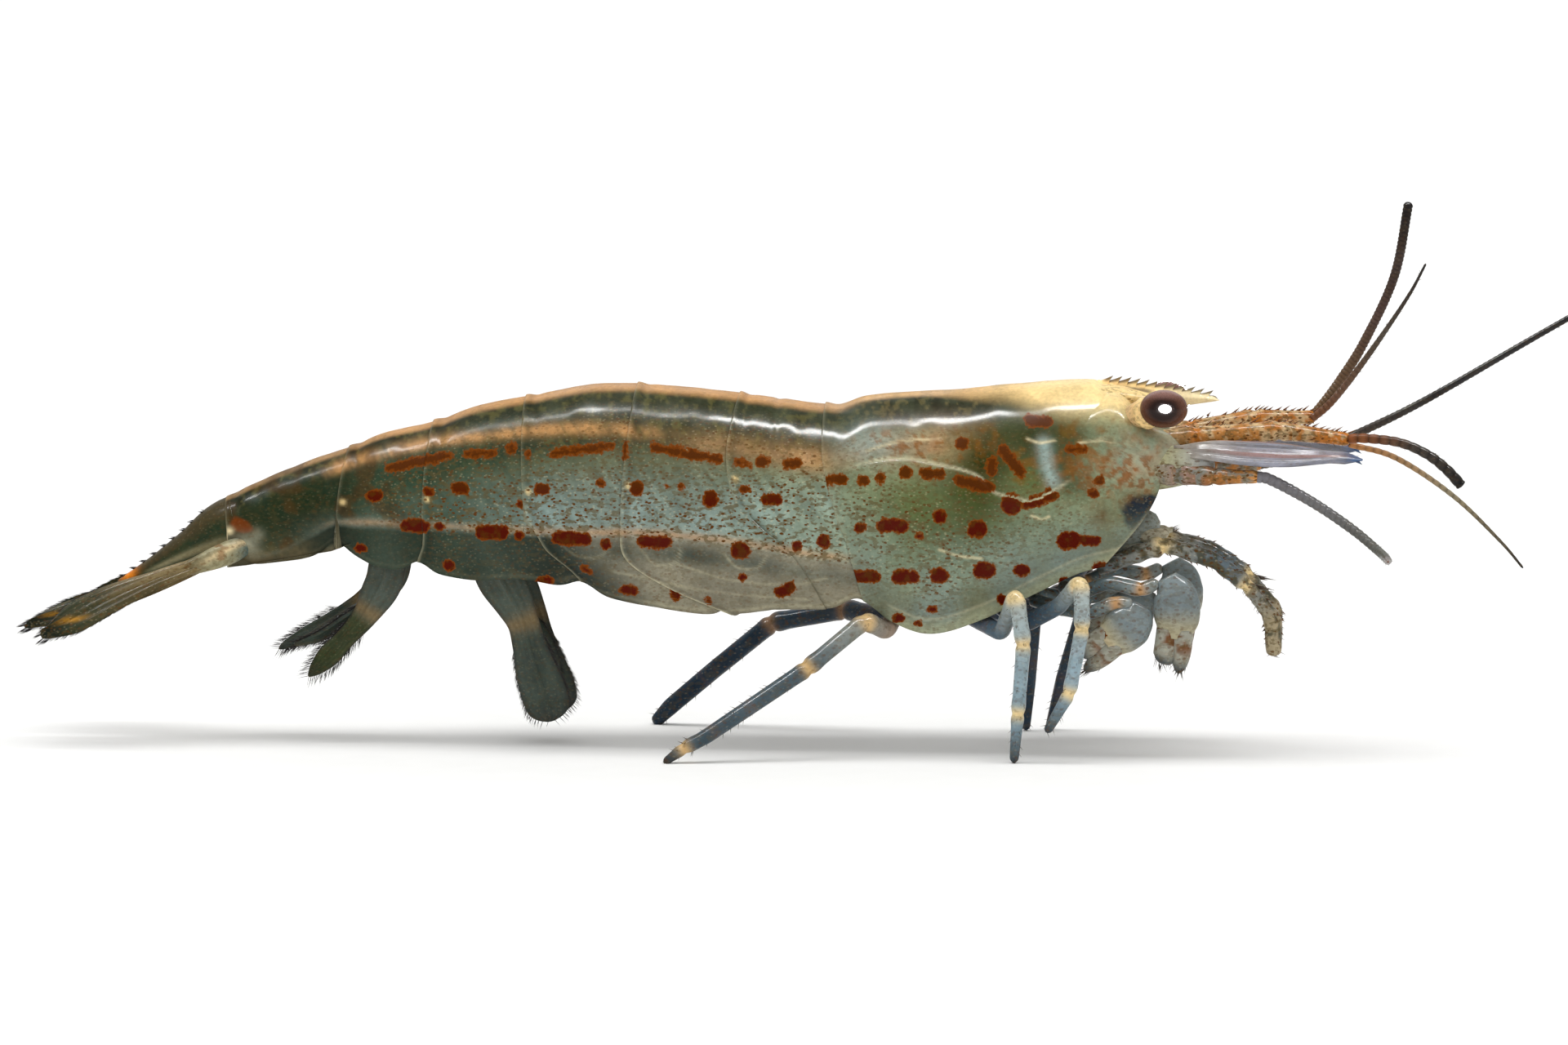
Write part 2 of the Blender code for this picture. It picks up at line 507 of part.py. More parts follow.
# ---------------------------------------------------------------- the whole animal
def centre_on_floor():
    """Put the middle of the overall box at X = Y = 0, with the feet at Z = 0."""
    parts = [part for part in bpy.data.objects if part.type == "MESH"]
    corners = [vert.co for part in parts for vert in part.data.vertices]
    low = [min(corner[axis] for corner in corners) for axis in range(3)]
    high = [max(corner[axis] for corner in corners) for axis in range(3)]
    shift = Vector((-(low[0] + high[0]) / 2, -(low[1] + high[1]) / 2, -low[2]))
    for part in parts:
        part.location = shift


def main():
    for leftover in list(bpy.data.objects):
        bpy.data.objects.remove(leftover, do_unlink=True)
    make_trunk()
    make_rostrum()
    for side, label in ((-1, "R"), (1, "L")):
        make_eye(side, label)
    make_antennules()
    make_antennae()
    make_underside()
    make_feeding_legs()
    make_claw_legs()
    make_walking_legs()
    make_swimmerets()
    make_tail_fan()
    centre_on_floor()


main()
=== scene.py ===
# %% [markdown]
# # A freshwater shrimp, plate by plate
#
# This lesson dresses a still, life-size model of a female freshwater shrimp. The solids of the model are
# already made and fixed, and they come in as a frame: one node for each plate, leg and feeler. Here each
# of them gets a finer piece in its place, with the glassy shell, the amber joints and the red-brown marks
# of the living animal. Nothing is moved or resized, so every number below is a place inside that frame.

# %% Load the frame
import math

import bmesh
import bpy
import numpy as np
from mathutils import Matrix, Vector


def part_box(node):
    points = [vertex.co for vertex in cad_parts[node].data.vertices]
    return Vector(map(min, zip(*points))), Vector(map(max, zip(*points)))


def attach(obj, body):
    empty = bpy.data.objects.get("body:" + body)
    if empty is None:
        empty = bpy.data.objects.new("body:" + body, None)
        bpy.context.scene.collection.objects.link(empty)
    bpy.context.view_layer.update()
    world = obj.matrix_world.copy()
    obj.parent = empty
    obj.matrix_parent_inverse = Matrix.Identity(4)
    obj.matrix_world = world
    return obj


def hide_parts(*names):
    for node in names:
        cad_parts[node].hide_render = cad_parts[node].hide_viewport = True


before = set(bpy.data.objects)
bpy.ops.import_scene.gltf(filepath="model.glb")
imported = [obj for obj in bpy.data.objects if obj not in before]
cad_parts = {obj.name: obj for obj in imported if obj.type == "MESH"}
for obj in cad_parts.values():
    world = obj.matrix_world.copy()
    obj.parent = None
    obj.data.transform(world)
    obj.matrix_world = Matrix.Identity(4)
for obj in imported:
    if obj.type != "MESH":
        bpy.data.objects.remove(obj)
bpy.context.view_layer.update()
print("nodes in the frame:", len(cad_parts))

# %% [markdown]
# ## One origin for the whole animal
#
# The animal is easiest to describe in millimetres, with X towards the head, Y towards its left and the
# floor at Z = 0. The frame is in metres and its origin is the middle of the overall box, feelers
# included. Rather than write that shift down, we measure it: the right eye is an ellipsoid whose centre
# we know in our own millimetres, so the middle of its box says where our origin lies. Limbs are written
# down for the left side only, and the right one gets the same places with the sign of Y turned round.

# %% Find the animal's own origin
MM = 0.001
EYE = np.array((15.56, 2.65, 14.12))
EYE_RADII = np.array((0.97, 0.86, 0.77))
RIGHT, LEFT = -1, 1
SIDES = ((RIGHT, "R"), (LEFT, "L"))


def mirrored(points, side):
    """Places written for the left side, put on the side asked for."""
    return np.array(points, float) * (1.0, side, 1.0)


eye_low, eye_high = (np.array(corner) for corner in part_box("eye_R"))
HOME = 0.5 * (eye_low + eye_high) - mirrored(EYE, RIGHT) * MM
print("origin of the animal, in millimetres of the frame:", np.round(HOME / MM, 3))

# %% [markdown]
# ## Small tools for curves
#
# Long soft shapes come from short tables: a few stations with the sizes there. A smooth curve between the
# stations (a Hermite spline whose slopes come from the neighbours) gives every size in between. NumPy
# reads such a table at thousands of places at once, which keeps dense meshes quick to make.

# %% Read tables smoothly
def read_smooth(rows, places):
    """Every column of a sorted table at many places: the result has one row for each column."""
    rows = np.array(sorted(rows, key=lambda row: row[0]), float)
    places = np.clip(np.asarray(places, float), rows[0, 0], rows[-1, 0])
    at = np.clip(np.searchsorted(rows[:, 0], places, side="right") - 1, 0, len(rows) - 2)
    before = np.maximum(at - 1, 0)
    after = np.minimum(at + 2, len(rows) - 1)
    span = rows[at + 1, 0] - rows[at, 0]
    t = (places - rows[at, 0]) / span
    columns = []
    for column in rows.T[1:]:
        slope_in = (column[at + 1] - column[before]) / (rows[at + 1, 0] - rows[before, 0]) * span
        slope_out = (column[after] - column[at]) / (rows[after, 0] - rows[at, 0]) * span
        columns.append((2 * t**3 - 3 * t**2 + 1) * column[at] + (t**3 - 2 * t**2 + t) * slope_in
                       + (3 * t**2 - 2 * t**3) * column[at + 1] + (t**3 - t**2) * slope_out)
    return columns


def ease(low, high, values):
    """A soft step from 0 at `low` to 1 at `high`."""
    t = np.clip((np.asarray(values, float) - low) / (high - low), 0.0, 1.0)
    return t * t * (3 - 2 * t)


def hump(distance, width):
    """A bell curve: 1 at no distance, nearly 0 beyond two widths."""
    return np.exp(-(np.asarray(distance, float) / width) ** 2)


def unit(vectors):
    """The same directions, each one long."""
    vectors = np.asarray(vectors, float)
    return vectors / np.maximum(np.linalg.norm(vectors, axis=-1, keepdims=True), 1e-12)


print("half way up a 0-to-1 ramp, the soft step gives", float(ease(0, 1, 0.5)))

# %% [markdown]
# ## Clouds, lines and patches to paint with
#
# Flesh is never one even colour. A value noise (random numbers on a grid, blended smoothly) gives soft
# clouds to paint with, and its seed keeps them the same on every run. Many markings on this animal are
# streaks that follow a curve on its side, so the second tool measures how far each point is from one.
# The third is a soft oval patch. With these three we can paint by rules, where a brush would do it by hand.

# %% Clouds and distances
LATTICE = 64
OCTAVES = ((1.0, 0.65), (2.3, 0.35))


def cloud(x, z, size, seed):
    """Soft blotches about `size` across, from 0 to 1, over two coordinates."""
    lattice = np.random.default_rng(seed).random((LATTICE, LATTICE))
    total = np.zeros(np.broadcast(x, z).shape)
    for finer, strength in OCTAVES:
        u = np.asarray(x) / size * finer + 17.3
        v = np.asarray(z) / size * finer + 41.9
        column, row = np.floor(u).astype(int), np.floor(v).astype(int)
        s, t = ease(0, 1, u - column), ease(0, 1, v - row)
        corners = [lattice[(row + j) % LATTICE, (column + i) % LATTICE] for j in (0, 1) for i in (0, 1)]
        low = corners[0] * (1 - s) + corners[1] * s
        high = corners[2] * (1 - s) + corners[3] * s
        total += strength * (low * (1 - t) + high * t)
    return total


def from_line(x, z, line, samples=70):
    """How far points are from a smooth line through a few (x, z) places."""
    line = np.array(line, float)
    table = np.column_stack((np.arange(len(line)), line))
    line_x, line_z = read_smooth(table, np.linspace(0, len(line) - 1, samples))
    nearest = np.full(np.shape(x), np.inf)
    for start in range(samples - 1):
        ax, az = line_x[start], line_z[start]
        bx, bz = line_x[start + 1] - ax, line_z[start + 1] - az
        along = np.clip(((x - ax) * bx + (z - az) * bz) / (bx * bx + bz * bz), 0, 1)
        nearest = np.minimum(nearest, np.hypot(x - ax - along * bx, z - az - along * bz))
    return nearest


def patch(x, z, middle, size, squeeze=(1.0, 1.0)):
    """A soft patch, 1 in its middle. A squeeze below 1 draws it out along or up the body."""
    return hump(np.hypot((x - middle[0]) * squeeze[0], (z - middle[1]) * squeeze[1]), size)


print("middle of a cloud:", round(float(cloud(1.0, 2.0, 1.0, seed=3)), 3))

# %% [markdown]
# ## Colours and how they get onto the mesh
#
# A shrimp's shell is nearly clear. What we see is paint under glass: a tan stripe over the back, dark
# flesh, and small red-brown pigment cells. One way to colour such a piece is a separate material for each
# area, but then every border is a hard line. Here each vertex carries its own soft base colour (`tint`),
# a number that is positive inside a spot (`spot`) and one that says how freckled it is (`freckle`).
# The shader turns those into crisp marks with a little noise on their edges, finer than the mesh.

# %% Name the colours
def srgb(red, green, blue):
    """A colour as seen on a screen (0 to 255), as linear light for the shader."""
    values = np.array((red, green, blue), float) / 255.0
    return np.where(values <= 0.04045, values / 12.92, ((values + 0.055) / 1.055) ** 2.4)


TAN = srgb(198, 148, 92)
PALE_GOLD = srgb(246, 216, 152)
OLIVE = srgb(54, 58, 36)
FLANK = srgb(110, 116, 90)
MIST = srgb(146, 166, 160)
SAGE = srgb(136, 148, 112)
PLEURA = srgb(92, 102, 92)
RIM = srgb(206, 200, 166)
ROSY_TAN = srgb(204, 160, 116)
DARK_TEAL = srgb(34, 54, 36)
TAIL_BROWN = srgb(92, 82, 54)
RUST = srgb(168, 88, 26)
AMBER = srgb(204, 128, 50)
CREAM = srgb(232, 214, 170)
SLATE = srgb(116, 138, 150)
NAVY = srgb(44, 62, 80)
LILAC = srgb(148, 150, 162)
UMBER = srgb(84, 74, 64)
SPOTLESS = -1.0


def mix(first, second, share):
    """Blend two colours, or two lists of them, by a share for each vertex."""
    share = np.asarray(share, float)[..., None]
    return first * (1 - share) + second * share


print("rust in linear light:", np.round(RUST, 3))

# %% [markdown]
# ## Turning arrays into pieces
#
# Blender can build a mesh from plain lists of points and faces with `from_pydata`. All pieces here are
# grids of points, rolled into tubes or folded into shells. A small class gathers the grids of one piece
# with their vertex values, and one function makes the object, stores the values as mesh attributes and
# hides the CAD nodes that the new piece stands for.

# %% Gather a piece
class Parcel:
    """Points, faces and vertex values gathered for one piece."""

    def __init__(self):
        self.points, self.faces, self.tint, self.spot, self.freckle = [], [], [], [], []
        self.count = 0

    def add(self, points, faces, tint, spot=SPOTLESS, freckle=0.0):
        """Add a group of points with the faces between them."""
        points = np.asarray(points, float).reshape(-1, 3)
        number = len(points)
        self.points.append(points)
        self.faces.extend([[corner + self.count for corner in face] for face in faces])
        self.tint.append(np.broadcast_to(np.asarray(tint, float).reshape(-1, 3), (number, 3)))
        self.spot.append(np.broadcast_to(np.ravel(spot), (number,)))
        self.freckle.append(np.broadcast_to(np.ravel(freckle), (number,)))
        self.count += number


def grid_faces(rows, columns, rolled=False):
    """The four-cornered faces of a grid of points; `rolled` joins its last column to its first."""
    numbers = np.arange(rows * columns).reshape(rows, columns)
    if rolled:
        numbers = np.hstack((numbers, numbers[:, :1]))
    corners = (numbers[:-1, :-1], numbers[:-1, 1:], numbers[1:, 1:], numbers[1:, :-1])
    return np.stack(corners, -1).reshape(-1, 4).tolist()


def tube_faces(rows, sides):
    """The faces of a grid rolled into a tube, with one more face to close each end."""
    ends = [list(range(sides)), list(range((rows - 1) * sides, rows * sides))]
    return grid_faces(rows, sides, rolled=True) + ends


print("a 3 by 4 grid has", len(grid_faces(3, 4)), "faces, and rolled up and closed", len(tube_faces(3, 4)))

# %% [markdown]
# Every piece goes through one function. It moves the points from our millimetres into the frame, lets
# Blender turn all the faces outwards (a BMesh operation), and stores the vertex values as attributes that
# the shader can read. Modelling by hand would give the same objects, but with 59 pieces a function makes
# sure that none is left without its body, its material slot or the CAD node it stands for.

# %% Make the object
def make_piece(name, parcel, material, slot=None, nodes=None):
    """Turn a parcel into an object that rides on the body and stands for its CAD nodes."""
    slot = slot or material.name.split(".")[0]
    nodes = nodes or [name]
    mesh = bpy.data.meshes.new(name)
    points = np.vstack(parcel.points) * MM + HOME
    mesh.from_pydata(points.tolist(), [], parcel.faces)
    bm = bmesh.new()
    bm.from_mesh(mesh)
    bmesh.ops.recalc_face_normals(bm, faces=bm.faces)
    bm.to_mesh(mesh)
    bm.free()
    tint = mesh.attributes.new("tint", "FLOAT_COLOR", "POINT")
    colours = np.column_stack((np.vstack(parcel.tint), np.ones(parcel.count)))
    tint.data.foreach_set("color", colours.astype(np.float32).ravel())
    for label, values in (("spot", parcel.spot), ("freckle", parcel.freckle)):
        attribute = mesh.attributes.new(label, "FLOAT", "POINT")
        attribute.data.foreach_set("value", np.concatenate(values).astype(np.float32))
    mesh.shade_smooth()
    mesh.materials.append(material)
    piece = bpy.data.objects.new(name, mesh)
    bpy.context.collection.objects.link(piece)
    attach(piece, "root")
    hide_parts(*nodes)
    print(name, "has", len(mesh.polygons), "faces")


# %% [markdown]
# ## The living shell material
#
# A wet shell has a clear glossy skin over flesh that lets some light in. In the Principled shader that is
# a coat for the gloss, a little subsurface light for the softness, and the painted base colour under both.
# Pigment cells are tiny stars a tenth of a millimetre wide, so a Voronoi texture, which scatters one point
# in each cell, draws them. Materials are built from nodes, and a small class keeps the wiring readable:
# each of its methods adds one node, joins it up and hands back its output.

# %% Short words for shader nodes
class Nodes:
    """A short way to add and join the shader nodes of one material."""

    def __init__(self, material):
        material.use_nodes = True
        self.tree = material.node_tree
        self.shader = self.tree.nodes["Principled BSDF"]
        self.place = self.tree.nodes.new("ShaderNodeTexCoord").outputs["Object"]

    def feed(self, source, socket):
        """Join a socket to another, or set it to a value."""
        if isinstance(source, bpy.types.NodeSocket):
            self.tree.links.new(source, socket)
        else:
            socket.default_value = source

    def math(self, operation, *values):
        """One sum of sockets and numbers."""
        node = self.tree.nodes.new("ShaderNodeMath")
        node.operation = operation
        for socket, value in zip(node.inputs, values):
            self.feed(value, socket)
        return node.outputs[0]

    def step(self, value, low, high):
        """A soft step of a socket, from 0 at `low` to 1 at `high`."""
        node = self.tree.nodes.new("ShaderNodeMapRange")
        node.interpolation_type = "SMOOTHSTEP"
        self.feed(value, node.inputs["Value"])
        self.feed(low, node.inputs["From Min"])
        self.feed(high, node.inputs["From Max"])
        return node.outputs["Result"]

    def mix(self, share, first, second):
        """Blend two colours, given as sockets or as painted colours."""
        node = self.tree.nodes.new("ShaderNodeMix")
        node.data_type = "RGBA"
        self.feed(share, node.inputs["Factor"])
        for value, socket in ((first, node.inputs[6]), (second, node.inputs[7])):
            if not isinstance(value, bpy.types.NodeSocket):
                value = (*map(float, value), 1.0)
            self.feed(value, socket)
        return node.outputs[2]

    def attribute(self, name):
        """A value stored on the mesh."""
        node = self.tree.nodes.new("ShaderNodeAttribute")
        node.attribute_name = name
        return node.outputs["Color" if name == "tint" else "Fac"]

    def shaded_tint(self, shade):
        """The colour stored on the mesh, made lighter or darker."""
        node = self.tree.nodes.new("ShaderNodeVectorMath")
        node.operation = "SCALE"
        self.feed(self.attribute("tint"), node.inputs[0])
        self.feed(shade, node.inputs["Scale"])
        return node.outputs[0]

    def height(self):
        """How high the place on the piece is."""
        split = self.tree.nodes.new("ShaderNodeSeparateXYZ")
        self.feed(self.place, split.inputs[0])
        return split.outputs[2]

    def drawn_out(self, stretch):
        """The place on the piece, squeezed along the body so that textures come out long."""
        squeeze = self.tree.nodes.new("ShaderNodeVectorMath")
        squeeze.operation = "MULTIPLY"
        self.feed(self.place, squeeze.inputs[0])
        squeeze.inputs[1].default_value = (1.0 / stretch, 1.0, 1.0)
        return squeeze.outputs[0]

    def noise(self, size, detail=3.0, stretch=1.0):
        """Cloudy noise with blobs about `size` millimetres across."""
        node = self.tree.nodes.new("ShaderNodeTexNoise")
        self.feed(self.drawn_out(stretch), node.inputs["Vector"])
        node.inputs["Scale"].default_value = 1.0 / (size * MM)
        node.inputs["Detail"].default_value = detail
        return node.outputs["Fac"]

    def cells(self, size, stretch=1.0):
        """Distance from scattered points about `size` millimetres apart."""
        node = self.tree.nodes.new("ShaderNodeTexVoronoi")
        self.feed(self.drawn_out(stretch), node.inputs["Vector"])
        node.inputs["Scale"].default_value = 1.0 / (size * MM)
        return node.outputs["Distance"]

    def bump(self, relief, strength, deep):
        """Let a socket dent the surface, up to `deep` millimetres."""
        node = self.tree.nodes.new("ShaderNodeBump")
        node.inputs["Strength"].default_value = strength
        node.inputs["Distance"].default_value = deep * MM
        self.feed(relief, node.inputs["Height"])
        self.feed(node.outputs["Normal"], self.shader.inputs["Normal"])


print("short words for nodes:", [word for word in vars(Nodes) if not word.startswith("_")])

# %% [markdown]
# The paint is built in layers, as a model maker would spray it: the soft base with clouds in it, pale
# grains, brownish streaks, dark star-shaped cells, and last the big marks, which have an orange-brown rim.
# High on the flank their heart is brown, and low down it is a mottled red. The noise that frays the edge
# of a mark is added to the spot value before the cut: added after, it would only make the mark patchy.

# %% Layer the paint
FRECKLE = srgb(92, 56, 20)
STREAK = srgb(96, 80, 46)
SPOT_BROWN = srgb(84, 40, 3)
SPOT_HEART = srgb(82, 15, 1)
SPOT_RIM = srgb(124, 62, 8)
BROWN_FROM, BROWN_TO = 10.0, 11.2


def paint_layers(nodes, grain, freckle_size):
    """Base colour with clouds, grains, streaks, pigment stars and marks, and where the marks are."""
    fine = nodes.noise(0.16)
    freckle = nodes.attribute("freckle")
    clouds = nodes.math("ADD", nodes.noise(1.2, 4.0), fine)
    shade = nodes.math("MULTIPLY_ADD", clouds, 2 * grain, 1.0 - 2 * grain)
    grains = nodes.math("SUBTRACT", 0.34, nodes.cells(0.8 * freckle_size, 1.5))
    pale = nodes.math("MULTIPLY", nodes.step(grains, 0.0, 0.2), nodes.math("MULTIPLY", freckle, 0.22))
    colour = nodes.mix(pale, nodes.shaded_tint(shade), CREAM)
    streak = nodes.step(nodes.noise(0.95 * freckle_size, 2.0, 1.9), 0.50, 0.60)
    streaks = nodes.math("MULTIPLY", streak, nodes.math("MULTIPLY", freckle, 0.72))
    colour = nodes.mix(streaks, colour, STREAK)
    arms = nodes.math("MULTIPLY", fine, 0.66)
    star = nodes.math("SUBTRACT", arms, nodes.cells(freckle_size, 1.6))
    stars = nodes.math("MULTIPLY", nodes.step(star, 0.00, 0.15), freckle)
    colour = nodes.mix(stars, colour, FRECKLE)
    ripple = nodes.math("ADD", nodes.noise(0.50), nodes.noise(0.13))
    ragged = nodes.math("ADD", nodes.attribute("spot"), nodes.math("MULTIPLY_ADD", ripple, 1.2, -1.1))
    high = nodes.step(nodes.height(), BROWN_FROM * MM + HOME[2], BROWN_TO * MM + HOME[2])
    mottled = nodes.step(nodes.noise(0.35, 3.0), 0.46, 0.66)
    heart = nodes.mix(nodes.math("MAXIMUM", mottled, high), SPOT_HEART, SPOT_BROWN)
    pigment = nodes.mix(nodes.step(ragged, 0.0, 0.55), SPOT_RIM, heart)
    marked = nodes.step(ragged, -0.20, 0.16)
    return nodes.mix(marked, colour, pigment), marked


print("marks turn from red to brown between", BROWN_FROM, "and", BROWN_TO, "mm above the floor")

# %% [markdown]
# One recipe serves every part of the shell with other amounts, so it is a function. The coat is the wet
# film. It is broken up by noise, because an even film would look like varnish, and it is thinner over the
# marks, where pigment lies at the surface. The hind rings get a drier skin of their own.

# %% Mix the shell's finish
SKIN_RADIUS = (0.9, 0.6, 0.4)


def shell_material(name, gloss=0.22, coat=0.32, glow=0.04, grain=0.30, relief=0.15, freckle_size=0.165):
    """Painted flesh under a clear wet coat."""
    material = bpy.data.materials.new(name)
    nodes = Nodes(material)
    skin = nodes.shader.inputs
    colour, marked = paint_layers(nodes, grain, freckle_size)
    nodes.feed(colour, skin["Base Color"])
    nodes.feed(nodes.math("MULTIPLY_ADD", nodes.noise(0.5), 0.24, gloss - 0.04), skin["Roughness"])
    grainy = nodes.math("MULTIPLY", nodes.noise(0.11), 0.4)
    nodes.bump(nodes.math("ADD", nodes.noise(0.9), grainy), relief, 0.05)
    wet = nodes.step(nodes.noise(1.1, 2.0, 2.6), 0.40, 0.60)
    film = nodes.math("MULTIPLY_ADD", wet, 1.1 * coat, 0.25 * coat)
    bare = nodes.math("MULTIPLY_ADD", marked, -0.7, 1.0)
    nodes.feed(nodes.math("MULTIPLY", film, bare), skin["Coat Weight"])
    skin["Coat Roughness"].default_value = 0.13
    skin["Coat IOR"].default_value = 1.33
    skin["Specular IOR Level"].default_value = 0.03
    skin["Subsurface Weight"].default_value = glow
    skin["Subsurface Radius"].default_value = SKIN_RADIUS
    skin["Subsurface Scale"].default_value = 0.3 * MM
    return material


carapace_shell = shell_material("carapace_shell")
abdomen_shell = shell_material("abdomen_shell")
rear_shell = shell_material("rear_shell", coat=0.14)
print("made", carapace_shell.name, "and", abdomen_shell.name, "and", rear_shell.name)

# %% [markdown]
# ## The trunk: where its surface lies
#
# The head shield and the six tail rings share one long body. Its shape is a table: at each station along
# the body, how high the back and the lower edge are and how wide it is at its widest and lowest. A second
# table gives the underside of the flesh, because below it the shell hangs free on both sides like a skirt.
# The seams between the plates are curves on the side, as (height, station) places from the back down. We
# could sculpt each plate by itself, but with one shared surface the neighbours always fit together.

# %% The trunk's tables
TRUNK = [
    (-23.2, 10.00, 7.10, 1.30, 1.00), (-20.0, 11.40, 7.55, 1.60, 1.25), (-18.0, 12.10, 7.90, 1.80, 1.50),
    (-16.5, 12.70, 7.35, 2.10, 1.90), (-14.3, 13.25, 7.15, 2.50, 2.20), (-12.5, 13.90, 6.90, 2.75, 2.40),
    (-10.4, 14.30, 6.95, 2.95, 2.55), (-8.0, 14.75, 6.50, 3.15, 2.65), (-5.6, 14.80, 6.00, 3.30, 2.75),
    (-2.6, 14.55, 5.62, 3.35, 2.80), (0.0, 14.25, 5.85, 3.35, 2.80), (2.2, 14.02, 5.95, 3.40, 2.85),
    (3.3, 14.35, 6.35, 3.50, 2.90), (4.6, 14.50, 5.45, 3.60, 2.95), (6.2, 14.60, 4.95, 3.70, 3.00),
    (8.4, 14.80, 5.60, 3.65, 3.05), (10.4, 15.00, 6.60, 3.50, 2.95), (12.4, 15.10, 7.50, 3.20, 2.70),
    (15.8, 15.00, 8.20, 2.55, 2.30),
]
BELLY = [(-23.2, 7.10), (-18.5, 7.95), (-16.5, 8.70), (-13.0, 9.00), (6.0, 8.80), (11.5, 8.90), (15.8, 9.90)]
WIDEST_AT = 0.45

FRONT_MARGIN = [(15.1, 13.3), (13.6, 14.0), (12.2, 15.2), (11.0, 15.6), (9.6, 14.9), (7.8, 13.4)]
SEAM_HEAD_1 = [(14.1, 1.9), (12.0, 2.0), (9.0, 2.9), (6.5, 3.6), (5.4, 4.0)]
SEAM_1_2 = [(14.5, -1.6), (12.0, -1.9), (10.0, -1.2), (8.0, 0.8), (5.7, 2.2)]
SEAM_2_3 = [(14.8, -5.8), (9.0, -6.2), (7.8, -5.9), (6.7, -4.2), (5.6, -1.6)]
SEAM_3_4 = [(14.4, -10.4), (10.0, -10.1), (8.4, -9.4), (7.2, -8.4), (6.3, -7.7)]
SEAM_4_5 = [(13.3, -14.2), (10.0, -14.4), (8.2, -14.4), (7.0, -14.7)]
SEAM_5_6 = [(12.2, -17.7), (10.0, -18.0), (7.9, -18.2)]
TAIL_END = [(10.2, -22.9), (7.2, -22.4)]
SEAMS = [FRONT_MARGIN, SEAM_HEAD_1, SEAM_1_2, SEAM_2_3, SEAM_3_4, SEAM_4_5, SEAM_5_6, TAIL_END]


def trunk_section(station, turn):
    """Breadth and height of the outer surface: `turn` is 0 on the back, 1 at the widest, 2 at the edge."""
    top, edge, half, half_low = read_smooth(TRUNK, station)
    middle = edge + WIDEST_AT * (top - edge)
    arch = 0.5 * np.pi * np.minimum(turn, 1.0)
    drop = np.clip(turn - 1.0, 0.0, 1.0)
    breadth = half * np.sin(arch) - (half - half_low) * drop**1.6
    height = np.where(turn <= 1.0, middle + (top - middle) * np.cos(arch), middle - (middle - edge) * drop)
    return breadth, height


print("widest place of the head shield:", max(row[3] for row in TRUNK), "mm either side")

# %% [markdown]
# ## Plates that overlap
#
# The rear edge of each ring lies over the front of the next, like roof tiles, so that the tail can curl.
# The one exception is low on the second ring, whose side flap lies over both its neighbours. Each plate
# therefore gets two rules for its edges: how far it reaches past its seam, and how much it is lifted or
# tucked there. The grid is solved by walking to the seam a few times, because a seam leans with height.

# %% Lay out one plate's grid
TUCK, TUCK_REACH = -0.17, 0.50
LIP, LIP_REACH = 0.075, 0.04
SEAM_SHIFT = 0.15
SEAM_STEPS = 9
HEAD, FLAP_RING, LAST_RING = 0, 2, 6
LOW_FLAP = (10.6, 9.6)


def edge_rules(number, height):
    """Reach and lift, in millimetres, at the front and at the rear edge of plate `number`."""
    if number == HEAD:
        return 0.0, 0.0, LIP_REACH, LIP
    low = ease(*LOW_FLAP, height)
    over_front = low if number == FLAP_RING else 0.0
    under_rear = low if number == FLAP_RING - 1 else 0.0
    front_reach = TUCK_REACH * (1 - over_front) + LIP_REACH * over_front
    front_lift = TUCK * (1 - over_front) + LIP * over_front
    rear_reach = LIP_REACH * (1 - under_rear) + TUCK_REACH * under_rear
    rear_lift = (LIP if number < LAST_RING else 0.0) * (1 - under_rear) + TUCK * under_rear
    return front_reach, front_lift, rear_reach, rear_lift


def plate_grid(number, rows, columns):
    """Stations, signed breadths and heights of a plate, with distances from its rear and front edges."""
    turn = np.abs(np.linspace(-2.0, 2.0, columns))[None, :]
    side = np.sign(np.linspace(2.0, -2.0, columns))[None, :]
    share = np.linspace(0.0, 1.0, rows)[:, None]
    rear_seam, front_seam = SEAMS[number + 1], SEAMS[number]
    station = np.full((rows, columns), 0.5 * (rear_seam[0][1] + front_seam[0][1]))
    for _ in range(SEAM_STEPS):
        breadth, height = trunk_section(station, turn)
        front_reach, front_lift, rear_reach, rear_lift = edge_rules(number, height)
        rear = read_smooth(rear_seam, height)[0] - SEAM_SHIFT - rear_reach
        front = read_smooth(front_seam, height)[0] - SEAM_SHIFT + front_reach
        station = rear + (front - rear) * share
    breadth, height = trunk_section(station, turn)
    lift = front_lift * (1 - ease(0, TUCK_REACH + 0.1, front - station))
    lift = lift + rear_lift * (1 - ease(0, TUCK_REACH, station - rear))
    return station, side * breadth, height, station - rear, front - station, lift


stations = plate_grid(FLAP_RING, 9, 11)[0]
print("second ring reaches from", round(float(stations.min()), 2), "to", round(float(stations.max()), 2))

# %% [markdown]
# ## Where the marks are
#
# The spots of this species stand in rows: long dashes under the tan stripe, round spots half way down,
# bold dashes on the lower edge of the muscle and a few on the side flaps. Females have the lower row
# drawn out into dashes. Each mark is a dash with rounded ends: its place along and up the body, half its
# length, half its height, and its tilt in degrees where it has one. The left side gets the same rows,
# shifted a little. What a vertex stores is how deep it lies inside a mark, so that the shader can cut the
# outline far finer than the mesh, where a plain spot colour would come out jagged.

